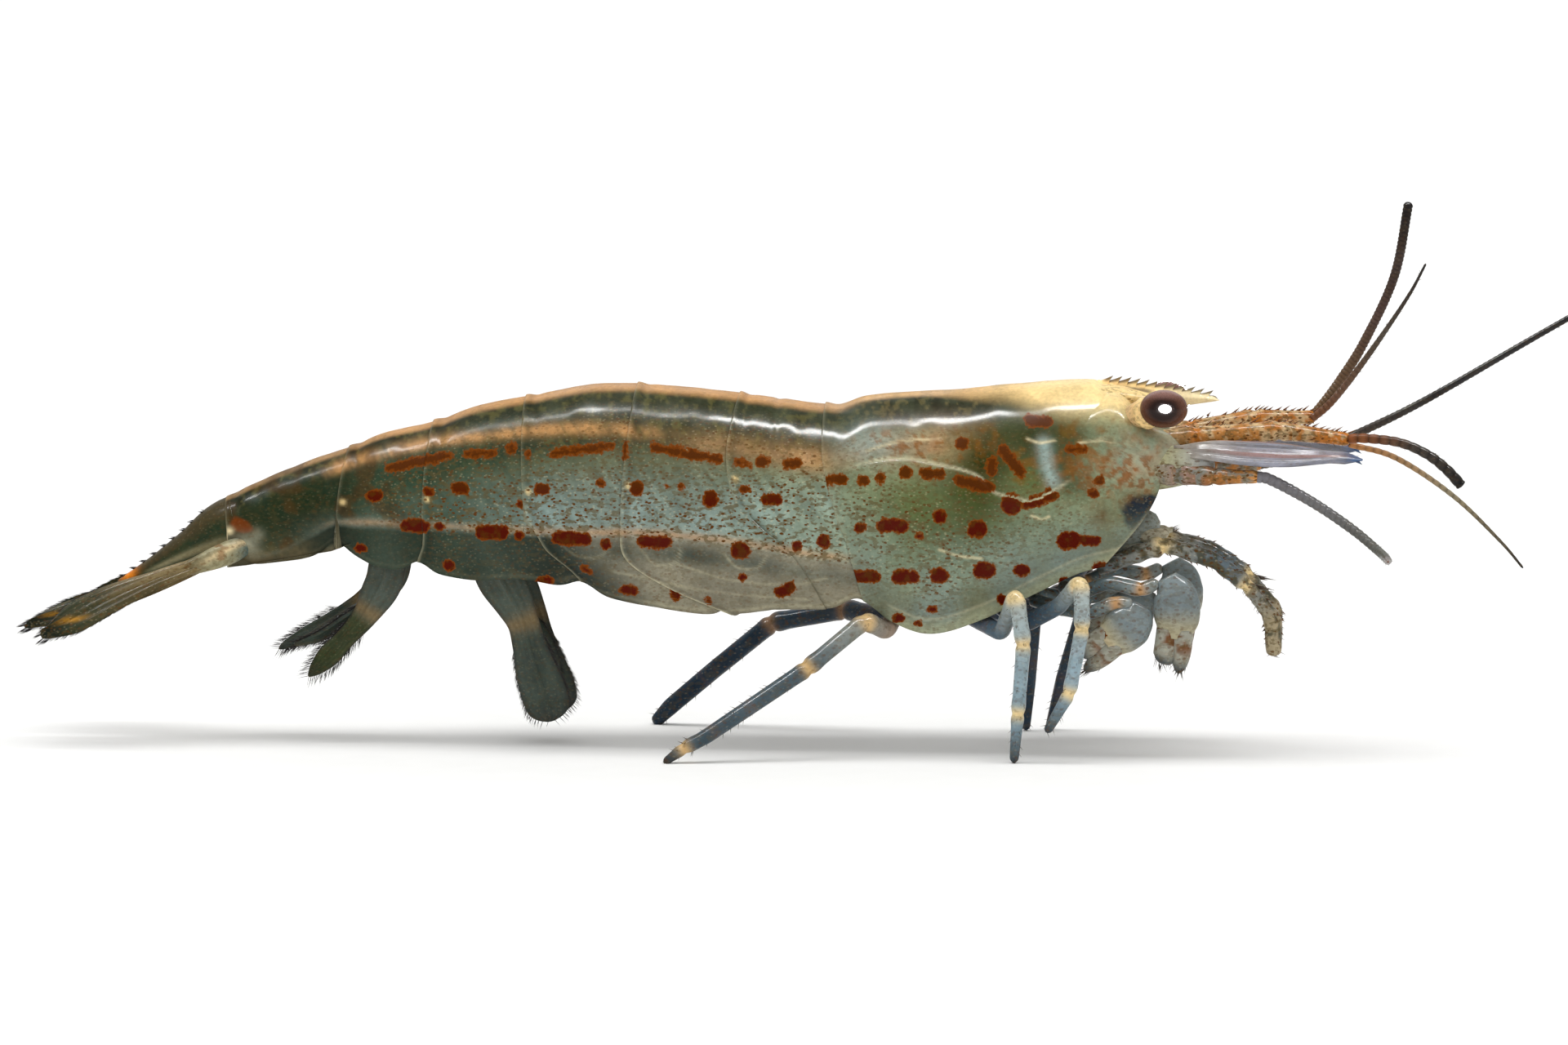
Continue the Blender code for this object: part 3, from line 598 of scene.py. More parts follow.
# %% Place the marks
HEAD_MARKS = [
    (2.2, 11.2, .73, .20), (3.5, 11.2, .28, .23), (4.2, 11.3, .25, .23), (5.2, 11.5, .30, .23),
    (6.3, 11.5, .58, .23), (8.0, 11.1, .87, .25, -12), (9.5, 10.3, .50, .43), (10.6, 10.5, .83, .25, 22),
    (6.6, 9.8, .33, .28), (8.1, 9.3, .43, .35), (3.4, 9.3, .30, .20), (4.7, 9.4, .72, .30),
    (5.8, 9.0, .20, .13), (11.8, 8.8, .57, .37), (12.6, 8.8, .50, .20), (3.5, 7.3, .78, .25),
    (5.2, 7.3, .62, .28), (6.6, 7.4, .43, .33), (8.4, 7.6, .53, .35), (9.9, 7.6, .35, .23),
    (11.6, 7.1, .23, .20), (13.0, 7.7, .33, .23), (14.8, 7.5, .20, .33), (4.9, 5.6, .27, .17),
    (5.7, 5.4, .20, .15), (6.3, 6.0, .23, .15), (9.1, 6.4, .23, .20), (13.0, 11.2, .23, .20),
    (12.8, 10.7, .27, .20), (7.5, 12.7, .30, .23), (10.5, 13.6, .60, .23), (13.3, 13.5, .37, .20),
    (9.5, 12.0, .83, .22, -50), (8.7, 11.8, .20, .43), (12.1, 12.5, .47, .17),
]
UPPER_DASHES = [
    (-14.8, 11.7, 1.47, .18, 12), (-12.2, 12.1, .73, .15, 5), (-10.9, 12.3, .27, .25),
    (-10.2, 12.1, .15, .15), (-8.0, 12.3, 1.37, .17, 8), (-3.7, 12.2, 1.55, .18, -10),
    (-1.4, 11.8, .40, .15, -8), (-.6, 11.9, .33, .17), (.6, 11.8, .42, .20), (-6.2, 12.3, .10, .37),
]
MIDDLE_SPOTS = [
    (-16.6, 10.3, .42, .25), (-14.3, 10.5, .22, .15), (-13.0, 10.7, .43, .25), (-10.5, 10.1, .20, .17),
    (-9.6, 10.7, .35, .22), (-7.2, 11.0, .23, .17), (-5.7, 10.8, .35, .30), (-4.5, 10.9, .13, .10),
    (-3.9, 10.9, .13, .17), (-2.7, 10.4, .28, .42), (-1.3, 10.8, .28, .15), (-.2, 10.4, .45, .23),
]
LOWER_DASHES = [
    (-14.9, 9.1, .68, .30), (-13.9, 9.1, .20, .22), (-11.7, 8.9, .75, .30), (-10.6, 8.8, .18, .23),
    (-8.4, 8.7, .87, .28), (-7.0, 8.5, .23, .28), (-5.0, 8.6, .75, .25), (-1.5, 8.3, .45, .35),
    (.8, 8.5, .23, .20), (1.9, 8.7, .33, .27),
]
FLAP_SPOTS = [
    (-17.2, 8.1, .30, .20), (-13.5, 7.5, .27, .20), (-9.6, 6.8, .50, .27, 20), (-6.1, 6.6, .40, .22),
    (-4.2, 6.4, .23, .25), (-2.8, 6.2, .18, .18), (.3, 6.7, .53, .25, 25), (-1.4, 7.2, .20, .18),
    (-7.8, 7.4, .27, .17, -30),
]
SPOT_UNIT = 0.22


def spot_field(x, z, side, marks):
    """How deep each point is inside the nearest mark, counted in `SPOT_UNIT` millimetres."""
    field = np.full(np.shape(x), SPOTLESS)
    for number, (mark_x, mark_z, half_long, half_high, *tilt) in enumerate(marks):
        lean = math.radians(tilt[0]) if tilt else 0.0
        shift = np.where(side > 0, 0.35 * math.sin(2.1 * number), 0.0)
        dx, dz = x - mark_x - shift, z - mark_z - 0.4 * shift
        along = dx * math.cos(lean) + dz * math.sin(lean)
        across = dz * math.cos(lean) - dx * math.sin(lean)
        if half_high > half_long:
            along, across, half_long, half_high = across, along, half_high, half_long
        beyond = np.maximum(np.abs(along) - (half_long - half_high), 0.0)
        wave = 0.05 * np.cos(2.2 * along / half_high + 2.0 * number)
        girth = half_high * (1.0 - 0.22 * (along / half_long) ** 2 + wave)
        field = np.maximum(field, (girth - np.hypot(beyond, across)) / SPOT_UNIT)
    return field


DARK_MARKS = MIDDLE_SPOTS + LOWER_DASHES + FLAP_SPOTS
print("marks on the head shield:", len(HEAD_MARKS), "and on the tail:", len(DARK_MARKS + UPPER_DASHES))

# %% [markdown]
# ## Painting the tail rings
#
# Seen from the side the tail is striped lengthways: a tan line along the back, dark olive muscle, a
# second tan stripe, a grey-green flank full of freckles, and a rosy line where the muscle ends. Its colours
# could be painted by hand onto a picture and wrapped round, but stripes that follow lines are easy to
# state as rules, and rules stay sharp at any size. Each layer is a colour and a share between 0 and 1.

# %% Stripes along the tail
TAN_STRIPE = [(-18.6, 11.2), (-17, 11.75), (-14, 12.5), (-11, 12.9), (-9.1, 13.1), (-6.5, 13.1),
              (-1.8, 12.7)]
MUSCLE_EDGE = [(-23.5, 7.4), (-21, 7.9), (-18.4, 9.0), (-15, 9.1), (-11.7, 9.0), (-8.4, 8.9), (-5, 8.9),
               (-1.7, 8.6), (1.6, 8.1), (4.2, 7.9)]


def paint_flesh(x, z, depth, muscle, blotch, fine):
    """Flank, dark back and stripes of the tail, with the second stripe and the rosy line by themselves."""
    # The flank: grey-green, mistier low down, with fibres that lean backwards.
    fibre = cloud(x * 1.6 + z * 1.1, z * 0.5, 0.5, seed=13)
    misty = ease(12.0, 9.8, z) * (0.35 + 0.9 * blotch)
    tint = mix(FLANK * 0.80, MIST * 0.92, misty)
    tint = mix(tint, SAGE, ease(-4, 2, x) * 0.4) * (0.66 + 0.66 * fibre)[..., None]
    # The dark muscle of the back, gritty with pigment, and a rosy layer inside it in front.
    grit = ease(0.52, 0.72, cloud(x, z, 0.20, seed=15))
    band = mix(OLIVE * (0.75 - 0.25 * ease(-8, -12, x))[..., None], srgb(104, 98, 52), 0.5 * grit)
    tint = mix(tint, band, ease(3.0, 1.9, depth) * (0.76 + 0.35 * fine))
    inside = ease(-5.5, -2.0, x) * hump(depth - 2.1, 0.5)
    tint = mix(tint, mix(TAN, ROSY_TAN, fine), inside * (0.15 + 0.6 * blotch))
    # The tan line on the ridge, and the second stripe below it.
    ridge = ease(0.36 - 0.10 * ease(-10, -18, x), 0.10, depth)
    tint = mix(tint, mix(TAN, TAIL_BROWN, 0.6 * ease(-15, -21, x)), ridge * (0.75 + 0.3 * fine))
    stripe = hump(from_line(x, z, TAN_STRIPE), 0.26) * ease(-3.2, -7.0, x) * ease(-21, -18, x)
    tint = mix(tint, TAN * 0.9, np.clip(stripe * (0.15 + 1.5 * fibre), 0, 1))
    # The rosy line where the muscle ends.
    rosy = hump(z - muscle - 0.05, 0.20) * ease(-20, -17, x) * ease(4.5, 1.5, x)
    tint = mix(tint, ROSY_TAN * 0.8, rosy * (0.45 + 0.5 * fine))
    return tint, stripe, rosy


print("the stripe runs over", TAN_STRIPE[-1][0] - TAN_STRIPE[0][0], "mm")

# %% [markdown]
# Below the rosy line only thin shell hangs, grey and clear, with a pale rim and pale creases. On a living
# animal the dark stems of the swimmerets show through it. Real transparency would need the whole inside of
# the animal behind the flap, so the dark stems are painted on the flap instead, and so is the shade
# inside the animal, as three patches of painted shade on the front flaps.

# %% Paint the side flaps
FLAP_CREASES = [[(-8.9, 8.5), (-8.2, 8.0), (-7.3, 7.95), (-6.9, 8.4)],
                [(-5.6, 8.4), (-5.0, 7.7), (-4.2, 7.75), (-3.9, 8.3)],
                [(-2.2, 8.2), (-1.6, 7.6), (-0.8, 7.6), (-0.4, 8.1)],
                [(-6.8, 7.4), (-4.5, 6.9), (-1.8, 6.5), (1.2, 6.3)],
                [(-4.0, 7.7), (-2.0, 7.1), (0.4, 6.9), (2.0, 7.2)]]


def paint_flap(x, z, below, above_rim, blotch):
    """Colour of the clear flaps, how strong their pale lines are and where the paler front flaps are."""
    front = ease(-8.8, -5.5, x + 0.9 * (z - 8))
    glass = mix(PLEURA * 0.26, mix(PLEURA * 1.5, ROSY_TAN, 0.2), front)
    # A darker band under the muscle edge, three patches of painted shade in it in front,
    # and two stems behind.
    shade_patches = np.clip(hump(x + 6.6, 0.6) + hump(x + 3.6, 1.1) + 0.6 * hump(x + 1.1, 1.1), 0, 1)
    glass = mix(glass, PLEURA * 0.75, front * hump(below - 0.75, 0.35) * 0.5)
    glass = mix(glass, PLEURA * 0.42, front * hump(below - 0.70, 0.42) * shade_patches * 0.8)
    stem = hump(x + 11.4 + 0.4 * (z - 7), 0.95) + hump(x + 16.1, 0.7)
    glass = mix(glass, PLEURA * 0.8, np.clip(stem, 0, 1) * 0.5)
    creases = sum(hump(from_line(x, z, crease, 24), 0.055) for crease in FLAP_CREASES)
    lines = np.clip(creases + hump(above_rim - 0.16, 0.07), 0, 1)
    return glass * (0.7 + 0.6 * blotch)[..., None], lines, front


print("creases on the side flaps:", len(FLAP_CREASES))

# %% [markdown]
# Towards the tail fan everything grows darker and greener, and the rings end in a rust-coloured patch and
# a cream knuckle where the fan hinges. One function puts all the layers together, from the flesh outwards:
# the order matters, as it does with real paint, because each layer covers a part of the one before.

# %% Put the tail's colours together
FAR_AWAY = 9.0


def paint_tail(x, z, from_rear=FAR_AWAY):
    """Base colour and freckle strength of the tail rings."""
    top, edge = read_smooth(TRUNK, x)[:2]
    muscle = read_smooth(MUSCLE_EDGE, x)[0]
    depth = top - z
    blotch = cloud(x, z, 1.3, seed=11)
    fine = cloud(x, z, 0.45, seed=12)
    tint, stripe, rosy = paint_flesh(x, z, depth, muscle, blotch, fine)
    flap = ease(0.05, -0.30, z - muscle)
    glass, lines, front = paint_flap(x, z, muscle - z, z - edge, blotch)
    tint = mix(tint, glass, flap)
    tint = mix(tint, RIM * 0.9, lines * flap * (0.10 + 0.30 * front) * (0.3 + blotch))
    # The hind rings: teal, with a paler keel and brown mottling.
    rear = ease(-6.5, -14.5, x) * ease(0.35, 1.0, depth) * (1 - 0.9 * stripe)
    teal = mix(mix(srgb(44, 68, 50), srgb(18, 40, 20), ease(-16, -19, x)), TAIL_BROWN * 0.8, 0.25 * fine)
    tint = mix(tint, teal, rear * (0.74 + 0.3 * blotch) * (1 - 0.6 * rosy) * (1 - 0.5 * flap))
    keel = hump(z - edge - 0.3, 0.5) * ease(-18.5, -20.5, x)
    tint = mix(tint, mix(TAN, SAGE, 0.5) * 0.5, keel * (0.2 + 0.6 * fine))
    mottle = ease(0.55, 0.75, cloud(x, z, 0.8, seed=14)) * ease(-12, -17, x) * (1 - flap)
    tint = mix(tint, srgb(72, 50, 20), mottle * 0.6)
    # The pale rear edge with a shadow in front of it.
    tint = mix(tint, RIM, hump(from_rear, 0.07) * (0.15 + 0.55 * flap * (0.3 + 0.7 * front)))
    tint = mix(tint, tint * 0.6, hump(from_rear - 0.26, 0.12) * 0.6)
    # The rust patch, the cream knuckle and a painted highlight on it.
    rusty = np.hypot(x + 22.25, (z - 8.95 + 0.25 * (x + 22.25)) * 1.5) + 0.3 * (fine - 0.5)
    tint = mix(tint, srgb(112, 52, 10), ease(0.55, 0.35, rusty) * 0.9)
    knuckle = patch(x, z, (-22.15, 8.1), 0.50, (1, 1.2)) + 0.45 * patch(x, z, (-21.55, 8.60), 0.26)
    tint = mix(tint, mix(CREAM, MIST, 0.5) * 0.9, np.clip(knuckle, 0, 1) * (0.5 + 0.5 * fine))
    tint = mix(tint, CREAM * 1.1, patch(x, z, (-22.75, 8.72), 0.16))
    freckle = (0.55 + 0.6 * ease(12.0, 9.8, z)) * (1 - 0.75 * flap) * ease(0.3, 1.4, depth)
    return tint, np.clip(freckle * (0.55 + blotch) * (1 - 0.85 * ease(-13, -18, x)), 0, 1)


flank_colour = paint_tail(np.array([-8.0]), np.array([10.0]))[0]
print("linear colour half way down the flank:", np.round(flank_colour[0], 3))

# %% [markdown]
# ## Folding a plate from its grid
#
# The painted grid is only the outside. A real plate has a thickness that shows at its edges, so the grid
# gets an inside a wall's thickness within it. Blender's Solidify modifier could do that much. Above the
# belly line, though, the body is full of flesh, so there the inside is pressed flat to the belly height.
# Outside, inside and edges are rolled into one closed skin.

# %% Fold one plate
WALL = 0.17
CORE = np.array((0, 0, 10.0))


def outward_normals(points):
    """Unit normals of a grid of points, turned away from the middle of the body."""
    normal = unit(np.cross(np.gradient(points, axis=0), np.gradient(points, axis=1)))
    return normal * np.sign((normal * (points - CORE))[..., 1:].sum(-1, keepdims=True))


def fold_plate(parcel, outer, belly, wall, tint, spot, freckle, inner_tint):
    """Close an outer grid with an inner one and with strips along its four edges."""
    rows, columns = outer.shape[:2]
    inner = outer - outward_normals(outer) * wall
    inner[..., 2] = np.minimum(inner[..., 2], belly)
    points = np.concatenate((outer, inner[:, ::-1]), axis=1)
    faces = grid_faces(rows, 2 * columns, rolled=True)
    for row in (0, (rows - 1) * 2 * columns):
        for column in range(columns - 1):
            inside = 2 * columns - 1 - column
            faces.append([row + column, row + column + 1, row + inside - 1, row + inside])
    inner_tint = np.broadcast_to(inner_tint, (rows, columns, 3))
    blank = np.zeros((rows, columns))
    parcel.add(points, faces, np.concatenate((tint, inner_tint), axis=1),
               np.concatenate((spot, blank + SPOTLESS), axis=1), np.concatenate((freckle, blank), axis=1))


print("shell plates are", WALL, "mm thick")

# %% [markdown]
# Each ring is pushed out or in along its normals: a lip and a tuck at its edges, low waves, a groove above
# the flap and a small knob where two rings hinge. The lower corners of the hind rings are rounded off.
# Displacing the points here, before the plate is folded, keeps the wall the same thickness everywhere.

# %% Make the tail rings
SEAM_KNOBS = [(-1.7, 11.2), (-6.05, 10.9), (-10.15, 10.6), (-14.35, 10.2), (-17.95, 10.0)]
UNDER_CREAM = srgb(176, 168, 134)
RING_ROWS = {1: 56, 2: 60, 3: 56, 4: 54, 5: 46, 6: 58}
ARCH_COLUMNS = 221


def make_ring(number, rows):
    """One tail ring, from its painted grid."""
    x, y, z, from_rear, from_front, lift = plate_grid(number, rows, ARCH_COLUMNS)
    edge = read_smooth(TRUNK, x)[1]
    muscle = read_smooth(MUSCLE_EDGE, x)[0]
    tint, freckle = paint_tail(x, z, from_rear)
    knob = sum(patch(x, z, place, 0.11) for place in SEAM_KNOBS)
    tint = mix(tint, PALE_GOLD, np.clip(knob * 1.2, 0, 1) * 0.8)
    upper = 0.72 * spot_field(x, z, y, UPPER_DASHES) + 0.03
    spot = np.maximum(spot_field(x, z, y, DARK_MARKS), upper)
    relief = lift + 0.05 * knob - 0.05 * hump(x + 0.2, 0.16) - 0.06 * hump(z - muscle + 0.2, 0.30)
    relief += 0.05 * (cloud(x, z, 1.1, seed=20 + number) - 0.5) - 0.03 * hump(from_rear - 0.45, 0.25)
    outer = np.stack((x, y, z), -1)
    outer = outer + outward_normals(outer) * relief[..., None]
    if number > FLAP_RING:
        low = ease(edge + 1.6, edge, z)
        outer[..., 2] += 0.42 * low * (hump(from_rear, 0.55) + hump(from_front - TUCK_REACH, 0.55))
    belly = np.maximum(np.interp(x, *zip(*BELLY)), edge + 0.05)
    parcel = Parcel()
    fold_plate(parcel, outer, belly, WALL, tint, spot, freckle, UNDER_CREAM * 0.55)
    skin = abdomen_shell if number < 4 else rear_shell
    make_piece(f"tail_ring_{number}", parcel, skin, "abdomen_shell", [f"abdomen_{number}"])


for number, rows in RING_ROWS.items():
    make_ring(number, rows)

# %% [markdown]
# ## Painting the head shield
#
# The head shield is the busiest piece. It is golden along the top, gritty olive below that, with a green
# pouch (the gut gland) showing through in the middle, a lit area behind it, dark shoulders above it and a
# pale misty gill chamber low down. As on the tail, each is a soft patch or band laid over the one before,
# so any of them can be moved or turned down by itself, which a painted picture would not allow.

# %% Paint the flesh of the head
def paint_gut(x, z, depth, blotch, fine):
    """Greens and golds of the rear and the middle of the head shield."""
    warm = mix(SAGE * 0.85, PLEURA * 1.5, 0.5)
    tint = mix(SAGE * 0.8, mix(warm, MIST, 0.45), ease(10.8, 8.0, z) * (0.35 + 0.8 * blotch))
    # The lit area, the green pouch, the dark shoulder above it and the paler throat in front.
    pouch = patch(x, z, (7.9, 10.5), 1.8, (1, 0.95))
    lit = patch(x, z, (6.0, 9.8), 1.7) * (1 - pouch)
    tint = mix(tint, srgb(76, 88, 16), lit * 0.8)
    tint = mix(tint, srgb(60, 70, 8), np.clip(pouch * (0.80 + 0.3 * blotch), 0, 1))
    shade = ease(10.9, 12.0, z + 0.25 * (x - 9)) * ease(6.8, 8.6, x) * ease(13.2, 11.6, x)
    tint = mix(tint, srgb(46, 56, 26), np.clip(shade * (0.70 + 0.4 * blotch), 0, 1))
    tint = mix(tint, srgb(96, 112, 66), patch(x, z, (10.2, 11.3), 0.75, (0.8, 1)) * 0.85)
    # Rosy flesh, the gritty olive band under the back and the gold on the back.
    tint = mix(tint, mix(ROSY_TAN * 0.7, SAGE, fine), hump(z - 12.4, 0.8) * ease(9.0, 5.5, x) * 0.75)
    grit = ease(0.52, 0.72, cloud(x, z, 0.20, seed=35))
    band = mix(OLIVE * 0.5, srgb(112, 98, 56), 0.5 * grit)
    tint = mix(tint, band, ease(1.65, 0.95, depth) * ease(11.0, 7.5, x) * (0.80 + 0.25 * fine))
    gold = ease(0.22 + 0.9 * ease(5.5, 11.0, x), 0.06, depth) + ease(9.0, 12.0, x) * ease(1.9, 0.5, depth)
    golden = mix(TAN, PALE_GOLD, 0.25 + 0.75 * ease(6, 12.5, x))
    return mix(tint, golden, np.clip(gold * (0.70 + 0.4 * fine), 0, 1))


sample = paint_gut(np.array([7.9]), np.array([10.5]), np.array([4.2]), np.array([0.5]), np.array([0.5]))
print("linear colour of the pouch:", np.round(sample[0], 3))

# %% [markdown]
# The front of the shield is warmer: orange-brown blotches and specks gather there like lichen, the cheek
# in front of them is pale and rosy, and a dark blue lobe lies low at the front edge. The blotches are
# noise cut off at a level, and each kind has its own seed, so that they don't fall on top of each other.

# %% Paint the front of the head
def paint_face(tint, x, z, depth, blotch, fine):
    """Rust, specks, cheek and the dark lobe, laid over the flesh of the head shield."""
    # A brownish haze on the back, rusty streaks behind the eye and two dark nooks.
    haze = patch(x, z, (6.2, 12.7), 0.75, (0.35, 1)) * ease(3.0, 4.5, x)
    tint = mix(tint, mix(RUST, TAN, fine), haze * (0.1 + 0.7 * blotch))
    streak = cloud(x * 0.5, z, 0.35, seed=33)
    rust = ease(0.50, 0.70, fine * 0.55 + streak * 0.45) * ease(10.4, 11.6, z) * ease(1.1, 1.6, depth)
    tint = mix(tint, srgb(122, 80, 14), np.clip(rust * ease(5.0, 8.0, x) * ease(16.2, 14.6, x), 0, 1) * 0.70)
    nook = patch(x, z, (8.25, 11.9), 1.05) + patch(x, z, (10.3, 13.15), 0.62, (0.45, 1))
    tint = mix(tint, srgb(48, 54, 18), np.clip(nook * (0.75 + 0.4 * blotch), 0, 1))
    # Specks on the back and before the eye, with a misty patch between them.
    where = patch(x, z, (5.8, 12.6), 0.85, (0.3, 1)) + patch(x, z, (13.9, 11.7), 1.1, (0.4, 1))
    tint = mix(tint, MIST * 0.95, patch(x, z, (3.4, 12.6), 0.75, (0.45, 1)) * 0.75)
    specks = ease(0.60, 0.72, cloud(x, z, 0.24, seed=34) + 0.06 * ease(12, 14, x)) * where
    tint = mix(tint, srgb(132, 76, 14), specks * ease(1.0, 1.4, depth) * 0.75)
    # The rosy cheek and the rusty specks on it.
    rosy = mix(mix(SAGE, MIST, 0.6) * 1.1, ROSY_TAN, 0.6 * fine)
    tint = mix(tint, rosy, patch(x, z, (14.9, 12.0), 1.3, (0.8, 1)) * 0.75)
    rusty = ease(0.55, 0.66, cloud(x, z, 0.22, seed=36)) * patch(x, z, (14.4, 11.6), 1.3, (0.45, 1))
    tint = mix(tint, srgb(132, 72, 14), rusty * 0.75)
    # The dark blue lobe with a brown line above it and a brown patch behind it.
    tint = mix(tint, srgb(84, 48, 18), patch(x, z, (14.5, 10.42), 0.30, (0.5, 1)) * 0.85)
    lobe = np.hypot(x - 15.0, (z - 9.9) * 1.25) + 0.35 * (fine - 0.5)
    tint = mix(tint, NAVY * 0.45, ease(1.15, 0.85, lobe) * 0.95)
    return mix(tint, srgb(92, 58, 26), patch(x, z, (13.2, 9.75), 0.45, (0.8, 1)) * (0.3 + 0.7 * fine))


print("a speck shows where its cloud passes 0.6; on the cheek one reads",
      round(float(cloud(14.0, 11.6, 0.22, 36)), 2))

# %% [markdown]
# Last come the things that run across the whole shield. Its rear blends into the colours of the first
# ring. Low down hangs a thin flap with a pale rim, a fold of the gill cover shows as a thin pale curve,
# and a few short painted highlights (glints) mark where the shell bends. The fold is handed on, because
# the plate's relief needs it too: a line that is only painted would look flat in the light.

# %% Put the head's colours together
GILL_FOLD = [(2.9, 11.7), (4.0, 12.0), (5.2, 12.1), (6.4, 11.9), (8.0, 11.5), (8.8, 10.8), (9.5, 10.6),
             (10.3, 10.45), (11.0, 10.75), (11.9, 11.3)]
GLINTS = [[(6.6, 8.45), (7.4, 8.2), (8.3, 8.1)], [(12.2, 12.75), (12.9, 12.85), (13.6, 12.8)],
          [(10.3, 9.85), (10.7, 9.7), (11.0, 9.8)], [(10.1, 12.9), (10.6, 12.75), (11.2, 12.85)],
          [(3.6, 12.35), (5.0, 12.75), (6.6, 12.85)]]
NECK_GLINT = [(10.75, 12.7), (10.85, 12.2), (10.95, 11.7), (11.15, 11.25)]


def paint_head(x, z, from_rear=FAR_AWAY, from_front=FAR_AWAY):
    """Base colour and freckle strength of the head shield, and how strong its fold is."""
    top, edge = read_smooth(TRUNK, x)[:2]
    depth = top - z
    blotch = cloud(x, z, 1.4, seed=31)
    fine = cloud(x, z, 0.40, seed=32)
    tint = paint_gut(x, z, depth, blotch, fine)
    tint = paint_face(tint, x, z, depth, blotch, fine)
    tint = mix(paint_tail(x, z)[0], tint, ease(1.0, 4.2, x + 0.5 * (fine - 0.5)))
    # The lower flap.
    flap = ease(2.2, 0.8, z - edge)
    tint = mix(tint, mix(srgb(106, 104, 74), MIST * 0.68, blotch), flap * 0.8)
    tint = mix(tint, mix(RIM, SAGE, 0.6), ease(0.75, 0.15, z - edge) * ease(4.2, 5.0, x) * 0.6)
    # The fold, the painted highlights (glints on the neck and where the shell bends) and the rims.
    fold = hump(from_line(x, z, GILL_FOLD), 0.06) * ease(2.6, 4.5, x) * ease(12.1, 11.2, x)
    tint = mix(tint, RIM * 1.1, fold * 0.75)
    # A bluish-white painted highlight down the neck.
    tint = mix(tint, MIST * 1.15, hump(from_line(x, z, NECK_GLINT, 20), 0.30) * 0.8)
    # Short cream painted highlights where the shell bends.
    glints = sum(hump(from_line(x, z, glint, 12), 0.055) for glint in GLINTS)
    tint = mix(tint, CREAM * 1.1, np.clip(glints, 0, 1) * (0.25 + 0.6 * fine))
    rim = hump(from_rear, 0.08) * 0.12 + hump(from_front, 0.10) * ease(10.4, 9.4, z) * 0.35
    tint = mix(tint, RIM, np.clip(rim + hump(z - edge - 0.62, 0.07) * ease(4.2, 5.0, x) * 0.3, 0, 1))
    freckle = (0.45 + 0.6 * ease(12.6, 9.5, z)) * ease(0.4, 1.4, depth) * (0.45 + 1.0 * blotch)
    return tint, np.clip(0.85 * freckle * (1 - 0.6 * flap) * (1 - 0.45 * ease(6, 10, x)), 0, 1), fold


print("glints on the head shield:", len(GLINTS) + 1)

# %% [markdown]
# The head shield is folded like a ring, but its front is open like a hood, so the inside rises there
# instead of being filled with flesh, and the wall thins to a sharp rim. A neck groove and the gill fold
# are pressed in along their lines. The shield isn't made into an object yet: the soft head that fills
# the hood belongs to the same piece, and is added to its parcel further on.

# %% Fold the head shield
NECK_GROOVE = [(13.2, 13.9), (12.4, 12.6), (11.4, 11.6)]
HOOD_ROOF = 15.0


def head_hollow(x):
    """Height of the inside: flesh behind, but an open hood in front, around the head."""
    flesh = np.interp(x, *zip(*BELLY))
    return flesh + (HOOD_ROOF - flesh) * ease(11.9, 13.3, x)


def fold_head_shield(rows, columns):
    """The head shield with its fold, its thin front rim and its neck groove."""
    x, y, z, from_rear, from_front, lift = plate_grid(HEAD, rows, columns)
    tint, freckle, fold = paint_head(x, z, from_rear, from_front)
    spot = spot_field(x, z, y, HEAD_MARKS) - 1.5 * fold * ease(9.0, 9.6, x)
    spot = spot * (1 - 0.20 * ease(9.9, 10.8, z))
    relief = lift - 0.05 * fold + 0.06 * hump(from_line(x, z + 0.22, GILL_FOLD), 0.20)
    relief -= 0.06 * hump(from_line(x, z, NECK_GROOVE, 20), 0.25)
    relief += 0.06 * (cloud(x, z, 1.3, seed=41) - 0.5)
    relief -= 0.16 * ease(0.55, 0.0, from_front) * ease(9.6, 10.6, z)
    outer = np.stack((x, y, z), -1)
    outer = outer + outward_normals(outer) * relief[..., None]
    parcel = Parcel()
    wall = (0.06 + 0.16 * ease(0.0, 0.8, from_front))[..., None]
    fold_plate(parcel, outer, head_hollow(x), wall, tint, spot, freckle, UNDER_CREAM * 0.6)
    return parcel


head_shield = fold_head_shield(204, 301)
print("points in the head shield:", head_shield.count)

# %% [markdown]
# ## Tubes with life in them
#
# Legs, feelers and stalks are all tubes whose thickness changes along the way. Blender's own curves can
# be bevelled into tubes, but then the mesh has no vertex colours to paint. So we lay rings of points
# square to a path. The path is a row of straight lengths with rounded corners, as an insect or shrimp
# limb has, or a smooth curve, as a feeler has, and the rings sit at even steps along it.

# %% Paths
def evenly(points, spacing):
    """The same path with points at even steps, and the length along it."""
    points = np.asarray(points, float)
    lengths = np.concatenate(([0.0], np.cumsum(np.linalg.norm(np.diff(points, axis=0), axis=1))))
    count = max(int(lengths[-1] / spacing), 3) + 1
    places = np.linspace(0.0, lengths[-1], count)
    return np.column_stack([np.interp(places, lengths, column) for column in points.T]), places


def curve_path(points, spacing):
    """An even path along a smooth curve through a few points."""
    table = np.column_stack((np.arange(len(points)), np.array(points, float)))
    dense = np.column_stack(read_smooth(table, np.linspace(0, len(points) - 1, 40 * len(points))))
    return evenly(dense, spacing)


def jointed_path(points, reach, spacing):
    """An even path of straight lengths with rounded corners, and how far along each corner is."""
    points = np.array(points, float)
    bent = [points[0]]
    for before, corner, after in zip(points, points[1:], points[2:]):
        first = corner + unit(before - corner) * min(reach, 0.42 * np.linalg.norm(before - corner))
        last = corner + unit(after - corner) * min(reach, 0.42 * np.linalg.norm(after - corner))
        for t in np.linspace(0, 1, 9):
            bent.append((1 - t) ** 2 * first + 2 * t * (1 - t) * corner + t * t * last)
    path, places = evenly(bent + [points[-1]], spacing)
    joints = [places[np.argmin(np.linalg.norm(path - corner, axis=1))] for corner in points]
    return path, places, np.array(joints)


print("a 5 mm path at 0.1 mm steps has", len(evenly([(0, 0, 0), (5, 0, 0)], 0.1)[0]), "points")

